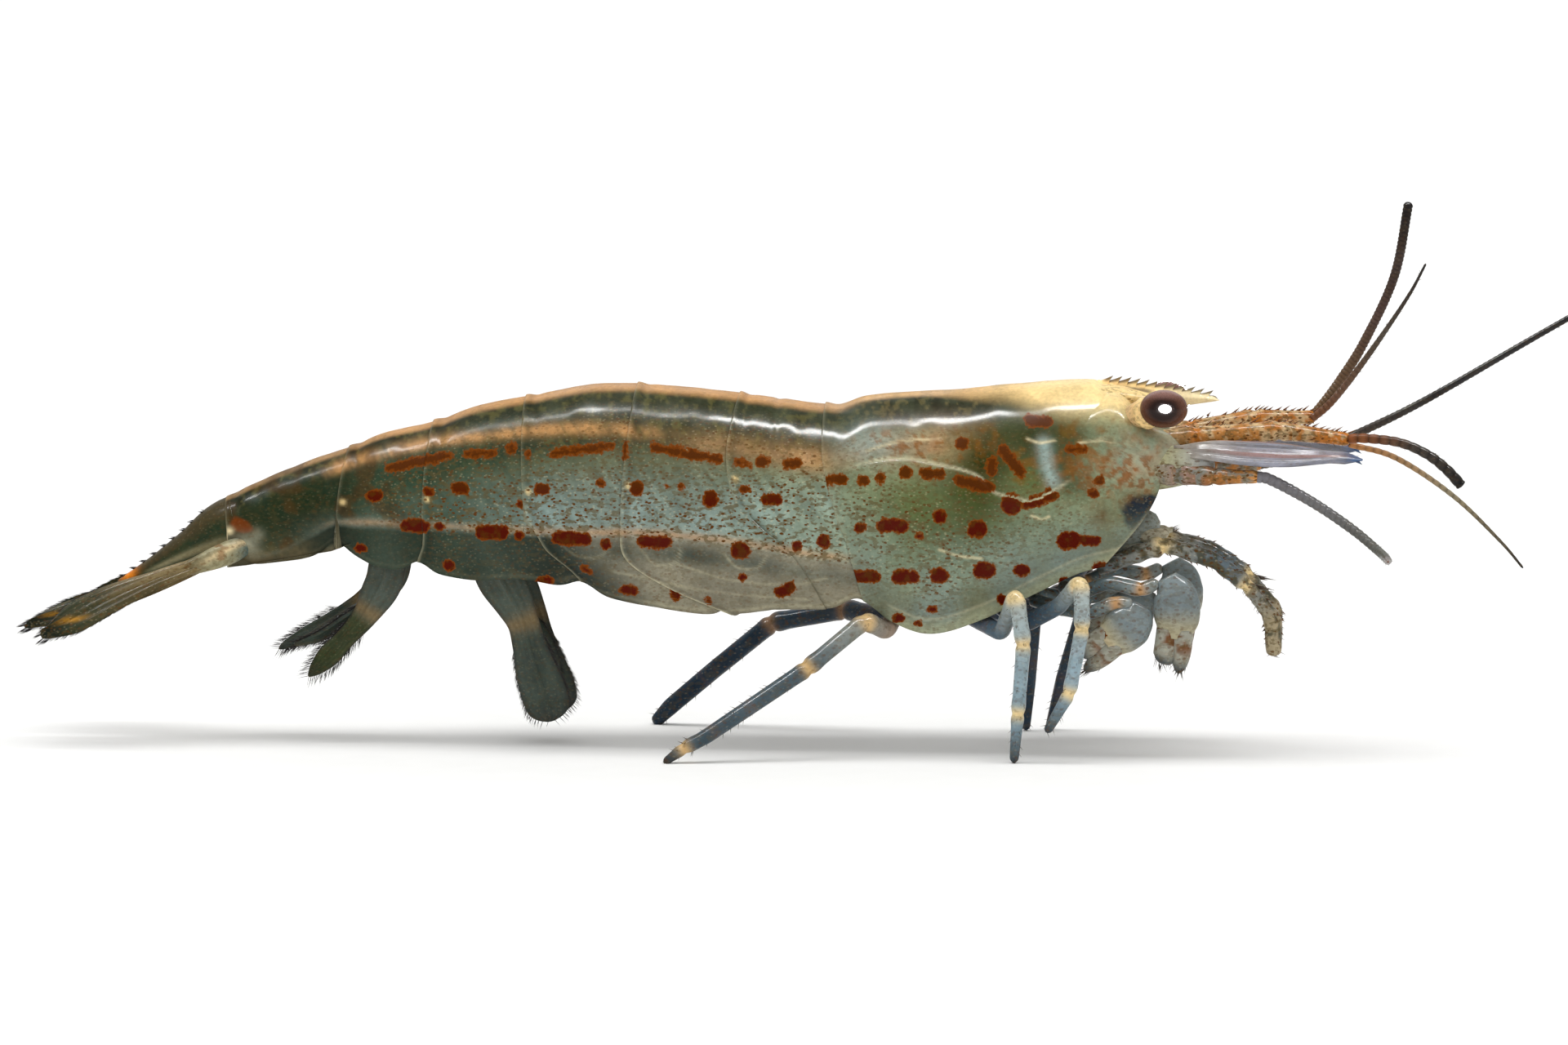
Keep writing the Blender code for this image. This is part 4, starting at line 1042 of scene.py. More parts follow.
# %% [markdown]
# Around the path goes a tube, and on many limbs stand stiff hairs. Blender has hair curves for these, but
# they wouldn't reach the exported model, so each hair is a long thin pyramid: three points for its foot
# and one for its tip are enough at this size.

# %% Tubes and bristles
def turns_of(sides):
    """Even angles once round a tube."""
    return np.linspace(0, 2 * np.pi, sides, endpoint=False)


def directions(path, axis):
    """Unit directions along a path, square to it towards `axis`, and square to both."""
    along = unit(np.gradient(path, axis=0))
    across = unit(axis - along * (along @ axis)[:, None])
    return along, across, np.cross(along, across)


def add_tube(parcel, path, wide, thick, wide_axis, sides, tint, freckle=0.0, spot=SPOTLESS):
    """Rings of points along a path, joined and closed; colours may differ for each ring."""
    along, across, third = directions(path, np.asarray(wide_axis, float))
    turns = turns_of(sides)
    ring = (across[:, None] * np.cos(turns)[None, :, None] * np.reshape(wide, (-1, 1, 1))
            + third[:, None] * np.sin(turns)[None, :, None] * np.reshape(thick, (-1, 1, 1)))
    tint = np.asarray(tint, float)
    if tint.ndim == 2:
        tint = np.repeat(tint[:, None], sides, axis=1)
    values = [np.repeat(np.broadcast_to(value, (len(path),))[:, None], sides, axis=1)
              if np.ndim(value) < 2 else value for value in (spot, freckle)]
    parcel.add(path[:, None] + ring, tube_faces(len(path), sides), tint, *values)
    return along, across, third


def add_bristles(parcel, roots, ways, lengths, tint, thick=0.022):
    """Stiff hairs: long thin pyramids on three-cornered feet."""
    ways = unit(ways)
    helper = np.where(np.abs(ways[:, 2:3]) > 0.8, (1.0, 0.0, 0.0), (0.0, 0.0, 1.0))
    side = unit(np.cross(ways, helper))
    other = np.cross(ways, side)
    points = []
    for turn in (0, 2 * np.pi / 3, 4 * np.pi / 3):
        points.append(roots + thick * (side * math.cos(turn) + other * math.sin(turn)))
    points.append(roots + ways * np.reshape(lengths, (-1, 1)))
    base = 4 * np.arange(len(roots))[:, None]
    faces = np.concatenate([base + corners for corners in ((0, 1, 3), (1, 2, 3), (2, 0, 3), (0, 2, 1))])
    parcel.add(np.stack(points, 1), faces.tolist(), tint)


print("a tube of 26 sides has a corner every", round(math.degrees(turns_of(26)[1]), 1), "degrees")

# %% [markdown]
# ## The face under the hood
#
# Behind the eyes the shield is open in front, and the soft head fills it. From its lower half the stout
# bases of the two long feelers push forward, so seen from the side the cheek seems to run on into them.
# A rounded lump with two lobes in front gives that. A flat tube laid along the brow roots the beak, so
# that the beak grows out of the shield and isn't just stuck on. All of it joins the head shield.

# %% Model the head
FACE = [(11.8, 14.20, 9.60, 2.95), (13.2, 14.72, 9.70, 2.80), (13.9, 14.55, 9.95, 2.72),
        (14.6, 13.75, 10.35, 2.62), (15.3, 13.25, 10.75, 2.52), (15.9, 13.10, 10.95, 2.35),
        (16.6, 12.95, 11.15, 2.20)]
LOBE = [(14.4, 1.35, 11.65), (15.6, 1.75, 11.72), (16.6, 2.02, 11.8), (17.6, 2.3, 11.85)]
BROW = [(12.5, 0, 14.50), (13.6, 0, 14.46), (14.6, 0, 14.36), (15.7, 0, 14.30)]
ROUND_ROWS, ROUND_SIDES = 64, 96


def add_head(parcel):
    """The soft head inside the hood, with a lobe at the root of each long feeler."""
    x = np.linspace(FACE[0][0], FACE[-1][0], ROUND_ROWS)[:, None]
    turn = turns_of(ROUND_SIDES)[None, :]
    top, under, half = read_smooth(FACE, x)
    close = np.sqrt(np.clip(1 - ease(15.3, 16.75, x) ** 2, 0.02, 1))
    up = np.sign(np.cos(turn)) * np.abs(np.cos(turn)) ** 0.8
    out = np.sign(np.sin(turn)) * np.abs(np.sin(turn)) ** 0.8
    middle = 0.5 * (top + under)
    z = middle + 0.5 * (top - under) * up * close
    y = half * out * close - 0.10 * cloud(x, z, 0.7, seed=50) * out
    x = x + 0 * z
    tint, freckle, _ = paint_head(x, z)
    tint = mix(tint, mix(LILAC, CREAM, 0.4), ease(15.2, 16.6, x) * 0.5)
    faces = tube_faces(ROUND_ROWS, ROUND_SIDES)
    parcel.add(np.stack((x, y, z), -1), faces, tint, SPOTLESS, freckle)
    for side in (RIGHT, LEFT):
        lobe, places = curve_path(mirrored(LOBE, side), 0.08)
        share = places / places[-1]
        round_off = np.sqrt(np.clip(1 - share**5, 0.03, 1))
        skin = mix(mix(SAGE, CREAM, 0.35), LILAC, ease(0.35, 0.95, share) * 0.7)
        add_tube(parcel, lobe, (1.05 - 0.38 * share) * round_off, (0.85 - 0.30 * share) * round_off,
                 (0, 0, 1), 32, skin, 0.6)


def add_brow(parcel):
    """The flat root of the beak, painted like the back of the shield just above it."""
    path, places = curve_path(BROW, 0.06)
    share = places / places[-1]
    skin = paint_head(path[:, 0], path[:, 2] + 0.45)[0]
    thick = np.interp(share, (0, .4, 1), (.50, .42, .12))
    add_tube(parcel, path, 1.5 - 1.3 * share, thick, (0, 1, 0), 36, skin, 0.5)


add_brow(head_shield)
add_head(head_shield)
print("points with the head:", head_shield.count)

# %% [markdown]
# ## Teeth along the beak
#
# The beak between the eyes carries a row of forward-pointing teeth, and the first few stand on the shield
# itself. A saw could be cut from a thin plate, but the shape here is drawn directly: the height of the
# crest rises slowly and drops quickly at each tooth, and the crest leans forward near its top. The blade
# is thickest along its middle rib, so its section is a slim diamond with rounded corners.

# %% Build the toothed beak
BEAK_TOP = [(12.3, 15.05), (13.3, 15.06), (14.6, 14.92), (16.0, 14.72), (17.4, 14.46), (17.75, 14.30)]
BEAK_UNDER = [(12.3, 14.55), (13.3, 13.95), (14.6, 13.90), (16.0, 14.02), (17.2, 14.18), (17.75, 14.27)]
TOOTH_PITCH = 0.37
TOOTH_HEIGHT = 0.21
TOOTH_RISE = 0.82
BEAK_SIDES = 40


def add_beak(parcel, start, end, rows):
    """A toothed blade from `start` to `end` along the body."""
    x = np.linspace(start, end, rows)[:, None]
    turn = turns_of(BEAK_SIDES)[None, :]
    top = read_smooth(BEAK_TOP, x)[0]
    under = read_smooth(BEAK_UNDER, x)[0]
    phase = (x - 12.9) / TOOTH_PITCH % 1.0
    tooth = np.where(phase < TOOTH_RISE, phase / TOOTH_RISE, (1 - phase) / (1 - TOOTH_RISE)) ** 1.3
    tooth = tooth * TOOTH_HEIGHT * ease(12.75, 13.1, x) * ease(17.75, 17.2, x)
    up = np.cos(turn)
    crest = np.clip(up, 0, 1) ** 6
    z = 0.5 * (top + under) + 0.5 * (top - under) * up + tooth * crest
    thin = 0.10 + 0.14 * ease(16.8, 13.2, x)
    y = thin * np.sin(turn) * (1 - 0.75 * np.abs(up) ** 1.5) * 1.5
    x = x + 0.26 * crest * tooth / TOOTH_HEIGHT
    shade = cloud(x, z, 0.35, seed=61)
    skin = mix(mix(PALE_GOLD, TAN, 0.6 * shade) * 1.15, CREAM, ease(14.5, 16.5, x))
    tint = mix(skin * 1.25, UMBER * 0.3, np.clip(crest * 2.5 - 0.5, 0, 1) * 0.85 * ease(12.9, 13.2, x))
    strip = hump(z - top + 0.24, 0.09) * ease(13.3, 13.7, x) * ease(15.3, 14.8, x)
    tint = mix(tint, NAVY * 0.5, strip * 0.85)
    parcel.add(np.stack((x, y, z), -1), tube_faces(rows, BEAK_SIDES), tint, SPOTLESS, 0.15)


rostrum_gold = shell_material("rostrum_gold", gloss=0.28, glow=0.12, grain=0.18)
beak = Parcel()
add_beak(beak, 12.5, 17.75, 230)
make_piece("head_shield", head_shield, carapace_shell, nodes=["carapace"])
make_piece("beak", beak, rostrum_gold, nodes=["rostrum"])

# %% [markdown]
# ## Eyes on short stalks
#
# A shrimp's eye is a dark glossy globe of hundreds of small facets on a pale stalk. Close up the facets
# give the surface a fine grain, while the whole stays shiny. Facets could be modelled one by one, but a
# Voronoi texture as fine as they are does it in the shader: it shades the colour and dents the surface.
# The coat over it is nearly smooth, because a wet eye shows the lamp as one small bright point.

# %% Finish for the eyes
def eye_material():
    """Dark brown facets under a very shiny skin."""
    material = bpy.data.materials.new("eye_cornea")
    nodes = Nodes(material)
    skin = nodes.shader.inputs
    facets = nodes.cells(0.055)
    nodes.feed(nodes.shaded_tint(nodes.math("MULTIPLY_ADD", facets, -0.5, 1.15)), skin["Base Color"])
    nodes.feed(nodes.math("MULTIPLY_ADD", nodes.noise(0.3), 0.12, 0.16), skin["Roughness"])
    nodes.bump(facets, 0.10, 0.02)
    skin["Specular IOR Level"].default_value = 0.03
    skin["Coat Weight"].default_value = 0.35
    skin["Coat Roughness"].default_value = 0.03
    skin["Subsurface Weight"].default_value = 0.05
    skin["Subsurface Scale"].default_value = 0.2 * MM
    return material


eye_cornea = eye_material()
eyestalk_cream = shell_material("eyestalk_cream", gloss=0.3, glow=0.12, grain=0.2)
print("made", eye_cornea.name, "and", eyestalk_cream.name)

# %% [markdown]
# The globe is a grid wrapped on an ellipsoid, a little flattened where it meets the stalk. A ball from
# Blender's own list would do, but on a grid we know where each point looks: the heart of the eye is nearly
# black, its outline brown, its top has a painted pinkish grey sheen, and a light collar rings the joint.

# %% Model the eyes and stalks
EYE_HEART = srgb(34, 14, 8)
EYE_BROWN = srgb(104, 66, 50)
EYE_TOP_SHEEN = srgb(150, 112, 104)
STALK_ROOT = np.array((13.95, 1.35, 13.65))
NEARLY = 0.02


def make_eye(side, label):
    """One eye, a globe of its own."""
    centre = mirrored(EYE, side)
    polar = np.linspace(NEARLY, math.pi - NEARLY, ROUND_ROWS)[:, None]
    turn = turns_of(ROUND_SIDES)[None, :]
    wide, high = np.sin(polar), np.cos(polar) + 0 * turn
    ball = np.stack((wide * np.cos(turn), wide * np.sin(turn), high), -1)
    behind = -(ball @ unit(centre - mirrored(STALK_ROOT, side)))
    points = centre + ball * EYE_RADII * (1 - 0.10 * ease(0.55, 1.0, behind))[..., None]
    aside = np.hypot(ball[..., 0], ball[..., 2])
    tint = mix(EYE_HEART, EYE_BROWN, ease(0.45, 0.95, aside))
    # The upper side gets a painted sheen: a pinkish grey highlight.
    tint = mix(tint, EYE_TOP_SHEEN, ease(0.45, 0.95, ball[..., 2]) * 0.8)
    tint = mix(tint, CREAM, ease(0.60, 0.80, behind) * 0.8)
    globe = Parcel()
    globe.add(points, tube_faces(ROUND_ROWS, ROUND_SIDES), tint)
    make_piece(f"eye_globe_{label}", globe, eye_cornea, nodes=[f"eye_{label}"])


def make_stalk(side, label):
    """The stalk of one eye, from inside the head to just inside the globe."""
    centre, root = mirrored(EYE, side), mirrored(STALK_ROOT, side)
    reach = unit(centre - root)
    path, places = evenly([root - reach * 0.9, centre - reach * 0.62], 0.05)
    share = places / places[-1]
    waist = 0.42 + 0.20 * ease(0.35, 0.95, share) - 0.05 * hump(share - 0.4, 0.15)
    collar = waist + 0.06 * hump(share - 0.86, 0.06)
    fine = cloud(path[:, 0], path[:, 2], 0.3, seed=71)
    skin = mix(mix(AMBER, CREAM, 0.7), PALE_GOLD * 1.1, ease(0.6, 0.9, share))
    stalk = Parcel()
    add_tube(stalk, path, collar, collar, (0, 0, 1), 40, mix(skin, RUST, 0.35 * fine), 0.4)
    make_piece(f"eyestalk_{label}", stalk, eyestalk_cream)


for side, label in SIDES:
    make_eye(side, label)
    make_stalk(side, label)

# %% [markdown]
# ## Jointed legs
#
# A crustacean's leg is a row of hard sleeves. Each is narrow where it starts, swells towards its far end
# and meets the next at a soft golden joint. A separate tube for each sleeve would leave open ends, so one
# tube does all, with its thickness and colour changed near each joint. The same function serves other
# limbs: `lumps` makes a limb uneven, and `patches` is a colour to mottle it with. Hairs are added after.

# %% Build one limb
LIMB_STEP = 0.075
LIMB_SIDES = 26
FLATNESS = 0.88


def between_stops(places, stops, colours):
    """The colour at each place, between the colours given at a few stops."""
    return np.column_stack([np.interp(places, stops, band) for band in np.transpose(colours)])


def closed_off(places, length, least=0.1):
    """How much of its thickness a tube keeps towards its far end, over the last `length`."""
    last = np.clip((places - places[-1] + length) / length, 0, 1)
    return np.sqrt(np.clip(1 - last**2, least, 1))


def add_limb(parcel, points, sizes, skin, side, joints, reach=0.32, seed=0, pinch=0.15, swell=0.10,
             gold=PALE_GOLD, gold_width=0.30, specks=0.35, lumps=0.0, patches=None):
    """A jointed limb; `joints` lists which of its points are joints. Returns its path and directions."""
    path, places, corners = jointed_path(mirrored(points, side), reach, LIMB_STEP)
    collar, glow = np.zeros(len(path)), np.zeros(len(path))
    for joint in joints:
        at = places - corners[joint]
        collar += swell * hump(at + 0.34, 0.26) - pinch * hump(at, 0.11) + 0.05 * hump(at - 0.25, 0.16)
        glow = np.maximum(glow, hump(at, gold_width))
    lumpy = lumps * (cloud(places, 0 * places, 0.45, seed=81) - 0.5)
    size = np.interp(places, corners, sizes) * (1 + collar + lumpy) * closed_off(places, 0.2)
    shade = cloud(places, places / places[-1], 0.7, seed=80 + seed)
    tint = between_stops(places, corners, skin)
    tint = mix(tint * (0.82 + 0.36 * shade)[:, None], gold, glow * 0.85)
    tint = mix(tint, RUST * 0.8, hump(shade - 0.82, 0.07) * 0.35 * glow.clip(0.25, 1))
    if patches is not None:
        turns = turns_of(LIMB_SIDES)[None, :]
        where = cloud(places[:, None], 0.55 * np.cos(turns) + 0.35 * np.sin(turns), 0.30, seed=200 + seed)
        tint = mix(np.repeat(tint[:, None], LIMB_SIDES, axis=1), patches, ease(0.50, 0.64, where) * 0.85)
    frames = add_tube(parcel, path, size, size * FLATNESS, mirrored((0, 1, 0), side), LIMB_SIDES, tint,
                      specks)
    return path, places, corners, size, frames


limb_slate = shell_material("limb_slate", gloss=0.24, coat=0.35, glow=0.15, grain=0.20, freckle_size=0.20)
print("made", limb_slate.name)

# %% [markdown]
# Short stiff hairs stand on most limbs. They are thrown at random between two joints, but from a random
# generator with a seed, so that every run throws them alike, and they lean towards the tip as real
# bristles do. Their feet start inside the tube, so that none of them floats.

# %% Put hairs on a limb
def around_limb(random, limb, row, count):
    """Random directions straight out of a limb at some of its rings."""
    along, across, third = limb[-1]
    turn = random.uniform(0, 2 * np.pi, count)[:, None]
    return across[row] * np.cos(turn) + third[row] * np.sin(turn)


def add_leg_hairs(parcel, limb, start, end, count, length, tint, seed, lean=0.8):
    """Short hairs scattered on a limb between two of its joints."""
    path, places, corners, size, (along, across, third) = limb
    random = np.random.default_rng(seed)
    at = random.uniform(corners[start], corners[end], count)
    row = np.clip(np.searchsorted(places, at), 0, len(path) - 1)
    out = around_limb(random, limb, row, count)
    roots = path[row] + out * (size[row] * 0.86)[:, None]
    lengths = length * random.uniform(0.6, 1.2, count)
    add_bristles(parcel, roots, out + along[row] * lean, lengths, tint, 0.016)


print("hairs on a leg lean", round(math.degrees(math.atan(0.8))), "degrees towards its tip")

# %% [markdown]
# The walking legs stand in three pairs. The last pair reaches back along the belly, the middle pair
# stands nearly upright, and of the front pair the right leg is lifted off the floor. The legs that stand
# end in a small curved claw whose point rests on the floor. The sleeves are glassy blue grey and paler on
# the knees, with rust-coloured specks. Shade is painted on too: navy roots under the shield on the front and
# middle pairs, and a darker, bluer copy of the colours on the far legs. A pose like this is often
# made by bending a rig; for a still model it is simpler to write down where each joint lies.

# %% Place the walking legs
LONG = [.45, .42, .38, .38, .34, .30, .20]
BACK = [.42, .42, .40, .38, .34, .28, .16]
FAR_BACK = [.45, .45, .46, .44, .42, .40, .28]
UPRIGHT = [(6.9, 1.55, 6.4), (6.9, 1.55, 6.05), (8, 1.85, 5.45), (9.1, 3.3, 5.05),
           (9.75, 4.45, 6.75), (10.05, 4.55, 4.75), (9.85, 4.85, 2.0), (9.7, 5, 0.02)]
LEGS = {
    "walking_leg_3_R": (RIGHT, LONG, [
        (8.9, 1.55, 6.4), (8.9, 1.55, 6.05), (10, 2.35, 5.35), (11.4, 3.3, 6.15),
        (12.35, 4.45, 7.3), (12.4, 4.5, 5.4), (11.9, 4.75, 2.8), (11, 5, 1.25)]),
    "walking_leg_3_L": (LEFT, LONG, [
        (8.9, 1.55, 6.4), (8.9, 1.55, 6.05), (10, 2.35, 5.35), (11.3, 3.3, 6.1),
        (12.15, 4.45, 7.2), (12.1, 4.7, 5.2), (11.2, 5.2, 2.2), (10.65, 5.5, 0.02)]),
    "walking_leg_4_R": (RIGHT, LONG, UPRIGHT),
    "walking_leg_4_L": (LEFT, LONG, UPRIGHT),
    "walking_leg_5_R": (RIGHT, BACK, [
        (4.9, 1.5, 6.4), (4.9, 1.5, 6.05), (4.4, 2.6, 5), (3.6, 3.7, 5.55),
        (1.35, 4.6, 3.7), (-2.7, 5.9, 1.0), (-3.5, 6.1, 0.6), (-4.3, 6.3, 0.02)]),
    "walking_leg_5_L": (LEFT, FAR_BACK, [
        (4.9, 1.5, 6.4), (4.9, 1.5, 6.05), (4.4, 2.8, 4.9), (2.2, 4.3, 5.1),
        (-.9, 4.9, 4.45), (-3.5, 5.3, 2.3), (-5.3, 5.7, 0.75), (-6.0, 5.8, 0.02)]),
}
HIND_LEGS = ("walking_leg_5_R", "walking_leg_5_L")


def make_leg(number, name):
    """One walking leg with its hairs."""
    side, sizes, points = LEGS[name]
    glass = srgb(134, 158, 170)
    # The roots, under the shield, are painted navy as shade.
    skin = [NAVY, NAVY, NAVY * 0.9, mix(NAVY, SLATE, 0.4), mix(glass, CREAM, 0.25) * 1.1,
            mix(glass, CREAM, 0.1) * 1.1, glass * 1.05, mix(UMBER, SLATE, 0.4) * 0.3]
    joints, gold = (4, 5, 6), PALE_GOLD
    if name in HIND_LEGS:
        skin = [SLATE * 0.6, SLATE * 0.6, mix(TAN, SLATE, 0.5) * 0.8, mix(SLATE, CREAM, 0.3) * 0.8,
                SLATE * 0.45, SLATE * 0.30, SLATE * 0.5, UMBER * 0.4]
        joints, gold = (3, 4, 6), mix(PALE_GOLD, TAN, 0.5)
    if side == LEFT:
        # The far legs get painted shade: a darker, bluer copy of the colours, joints included.
        skin = [mix(colour * 0.6, NAVY * 0.75, 0.85) for colour in skin]
        joints, gold = (3, 4), mix(TAN, NAVY, 0.5)
    parcel = Parcel()
    limb = add_limb(parcel, points, [sizes[0]] + sizes, skin, side, joints, seed=number, gold=gold,
                    gold_width=0.26)
    add_leg_hairs(parcel, limb, 4, 7, 60, 0.24, UMBER * 0.5, seed=90 + number)
    make_piece(name, parcel, limb_slate)


for number, name in enumerate(LEGS):
    make_leg(number, name)

# %% [markdown]
# ## Claws with brushes
#
# The two front pairs of legs end in small scoop-shaped claws that pick food apart. The palm is a glassy
# egg with rust spots near the hinge. One of the two fingers is hooked and the other blunt, both are
# mottled at the root and navy at the tip, and both carry brushes of dark bristles. All three are tubes: a
# sphere and two cones would show hard seams where they meet, and tubes can be bent and swollen freely.

# %% Build one claw
PALM_SIDES, FINGER_SIDES = 36, 20
BRUSH = 46


def softened(values, reach):
    """A row of values with its corners rounded: each one is the mean of its neighbours."""
    count = 2 * reach + 1
    return np.convolve(np.pad(values, reach, mode="edge"), np.ones(count) / count, mode="valid")


def add_palm(parcel, points, seed):
    """The palm, along the first part of the claw's path."""
    palm, places = curve_path(points[:4], 0.06)
    share = places / places[-1]
    wide = softened(np.interp(share, (0, .10, .30, .60, .88, 1), (.30, .62, .90, .97, .80, .62)), 6)
    wide = wide * (0.94 + 0.12 * cloud(places, share, 0.5, seed=seed + 7))
    shade = cloud(share * 4, share, 0.8, seed=seed)
    glass = mix(SLATE, srgb(128, 132, 126), 0.6)
    skin = mix(glass, mix(CREAM, FLANK, 0.4), ease(0.45, 0.95, share) * 0.8) * (0.8 + 0.35 * shade)[:, None]
    skin = mix(skin, mix(CREAM, RUST, 0.3), hump(share - 0.95, 0.08) * 0.5 * ease(0.3, 0.7, shade))
    ring = np.abs(np.cos(turns_of(PALM_SIDES)))[None, :]
    spot = np.maximum(0.65 - np.hypot((share[:, None] - 0.93) / 0.07, (ring - 0.55) / 0.25), SPOTLESS)
    add_tube(parcel, palm, wide, wide * 0.68, (1, 0, 0), PALM_SIDES, skin, 0.35, spot)


def add_finger(parcel, points, hooked, random, seed):
    """One finger and its brush, at the end of the claw's path."""
    way = 1 if hooked else -1
    along = unit(points[4] - points[3])
    across = unit(np.cross(along, (0, 1, 0)))
    start = points[3] + across * way * 0.28 - along * 0.35
    middle = 0.5 * (points[3] + points[4]) + across * way * 0.326
    tip = points[4] + across * (0.28 if hooked else -0.46) + along * (0.08 if hooked else -0.28)
    finger, far = curve_path([start, middle, tip], 0.05)
    share = far / far[-1]
    size = 0.47 - 0.24 * share**2 if hooked else 0.46 + 0.03 * share
    size = size * np.sqrt(np.clip(1 - share**9, 0.05, 1))
    turns = turns_of(FINGER_SIDES)[None, :]
    rough = cloud(far[:, None], 0.5 * np.cos(turns) + 0.3 * np.sin(turns) + way, 0.28, seed=seed + 3)
    fade = share[:, None] + 0.0 * rough
    mottled = ease(0.48, 0.62, rough) * ease(0.75, 0.35, fade) * 0.9
    skin = mix(mix(SLATE, CREAM, 0.4) * 0.8, srgb(110, 62, 20), mottled)
    skin = mix(skin, NAVY * 0.55, ease(0.60, 0.95, fade) * 0.8)
    add_tube(parcel, finger, size, size * 1.05, (1, 0, 0), FINGER_SIDES, skin, 0.5)
    row = random.integers(int(0.55 * len(finger)), len(finger), BRUSH)
    out = unit(random.normal(size=(BRUSH, 3)) + across * way * 0.3)
    roots = finger[row] + out * (size[row] * 0.7)[:, None]
    lean = along * 1.25 - across * way * 0.25
    add_bristles(parcel, roots, out * 0.55 + lean, random.uniform(0.22, 0.55, BRUSH), UMBER * 0.25, 0.018)


print("bristles on one claw:", 2 * BRUSH)

# %% [markdown]
# Each claw sits on a short arm, a limb with two joints that comes out from under the shield. The frame
# has a node for the arm and one for the claw, so they are two pieces. The arm runs on a little way into
# the palm, because two round ends that only touch would leave a gap.

# %% Place the claws
ARM_SIZES = [0.32, 0.32, 0.32, 0.32, 0.28]
CLAW_LEGS = {
    1: ([(11.5, 1.35, 6.75), (12.2, 2.0, 6.55), (13.4, 2.75, 7.10), (14.75, 2.95, 6.80)],
        [(15.75, 3.0, 7.35), (16.05, 3.0, 6.75), (16.15, 3.0, 5.8), (16.05, 3.0, 4.9), (15.95, 3.0, 3.55)]),
    2: ([(10.3, 1.35, 6.20), (11.3, 2.0, 5.95), (12.6, 3.05, 5.85), (13.7, 3.25, 6.35)],
        [(14.75, 3.15, 6.20), (14.5, 3.15, 5.75), (14.0, 3.15, 5.2), (13.35, 3.1, 4.7), (12.3, 3.0, 3.8)]),
}


def make_claw_leg(number, side, label):
    """One clawed leg: the arm and the claw."""
    arm, claw = CLAW_LEGS[number]
    name, seed = f"{number}_{label}", 110 + number
    into_palm = np.array(arm[3]) * 0.35 + np.array(claw[0]) * 0.65
    # The part of the arm under the shield is darker: painted shade.
    skin = [mix(SLATE, PLEURA, 0.4) * 0.7] * 3 + [mix(SLATE, CREAM, 0.2) * 0.8] * 2
    parcel = Parcel()
    add_limb(parcel, arm + [into_palm], ARM_SIZES, skin, side, (1, 3), seed=100 + number, specks=0.7,
             gold=TAN, gold_width=0.2, pinch=0.08)
    make_piece(f"claw_leg_{name}", parcel, limb_slate)
    parcel = Parcel()
    points = mirrored(claw, side)
    random = np.random.default_rng(seed)
    add_palm(parcel, points, seed)
    add_finger(parcel, points, True, random, seed)
    add_finger(parcel, points, False, random, seed)
    make_piece(f"claw_{name}", parcel, limb_slate)


for number in CLAW_LEGS:
    for side, label in SIDES:
        make_claw_leg(number, side, label)

# %% [markdown]
# ## The feeding legs
#
# In front of the claws hangs a pair of leg-like mouthparts, the third maxillipeds, held forward and bent
# down at the end. They are brownish grey and glassy, with a golden joint, and their last length is lumpy,
# rough with short thorns and mottled like lichen. The lumps come from noise in the thickness: a
# displacement in the shader would give them too, but it would not show in the outline of the exported
# model. A few longer thorns stand just before the last joint.

# %% Model the feeding legs
FEEDING_LEG = [(12.9, 1.45, 7.55), (15.6, 1.70, 8.55), (17.6, 1.80, 7.95), (18.95, 1.82, 6.95),
               (20.0, 1.80, 5.60), (20.05, 1.78, 4.05)]
THORNS = 34


def make_feeding_leg(side, label):
    """One third maxilliped."""
    grey = mix(SLATE, UMBER, 0.35)
    mottled = mix(CREAM, UMBER, 0.6)
    skin = [grey, mix(grey, CREAM, 0.35), grey * 0.9, grey, mottled, mottled * 0.9]
    parcel = Parcel()
    limb = add_limb(parcel, FEEDING_LEG, [.42, .40, .36, .34, .42, .33], skin, side, (1, 3), seed=120,
                    specks=0.8, swell=0.16, lumps=0.42, patches=mix(UMBER, SAGE, 0.25) * 0.5)
    path, places, corners, size, (along, across, third) = limb
    add_leg_hairs(parcel, limb, 3, 5, 90, 0.20, UMBER * 0.3, seed=121, lean=0.5)
    random = np.random.default_rng(123)
    row = random.integers(np.searchsorted(places, corners[1]), len(path) - 3, THORNS)
    out = around_limb(random, limb, row, THORNS)
    add_bristles(parcel, path[row] + out * (size[row] * 0.8)[:, None], out + along[row],
                 np.full(THORNS, 0.2), mix(UMBER * 0.5, RUST, 0.2), 0.05)
    add_leg_hairs(parcel, limb, 1, 3, 26, 0.16, UMBER * 0.4, seed=122, lean=1.0)
    row = np.searchsorted(places, np.array([0.985, 1.0, 1.01]) * corners[3])
    long_thorns = across[row] * 0.2 + along[row] * 1.2 + np.array((0.9, 0, 0.55))
    add_bristles(parcel, path[row] + unit(long_thorns) * 0.22, long_thorns, np.array((0.7, 1.0, 0.6)),
                 UMBER * 0.6, 0.08)
    make_piece(f"maxilliped_{label}", parcel, limb_slate)


for side, label in SIDES:
    make_feeding_leg(side, label)

# %% [markdown]
# ## The small feelers
#
# On top of the snout each side has two thin whips on a stout base. Close up a whip is a string of short
# rings, so its thickness and its colour rise and fall a little all along. An array of little beads would
# do it, but would need hundreds of parts: a tapering tube with a fine wave in it looks the same. The right
# pair droops forward, and the left pair stands up.

# %% Build the whips
HALVES = (0, 0.5, 1)
WHIP_SIDES = 14
feeler_brown = shell_material("feeler_brown", gloss=0.34, coat=0.35, glow=0.10, grain=0.25)


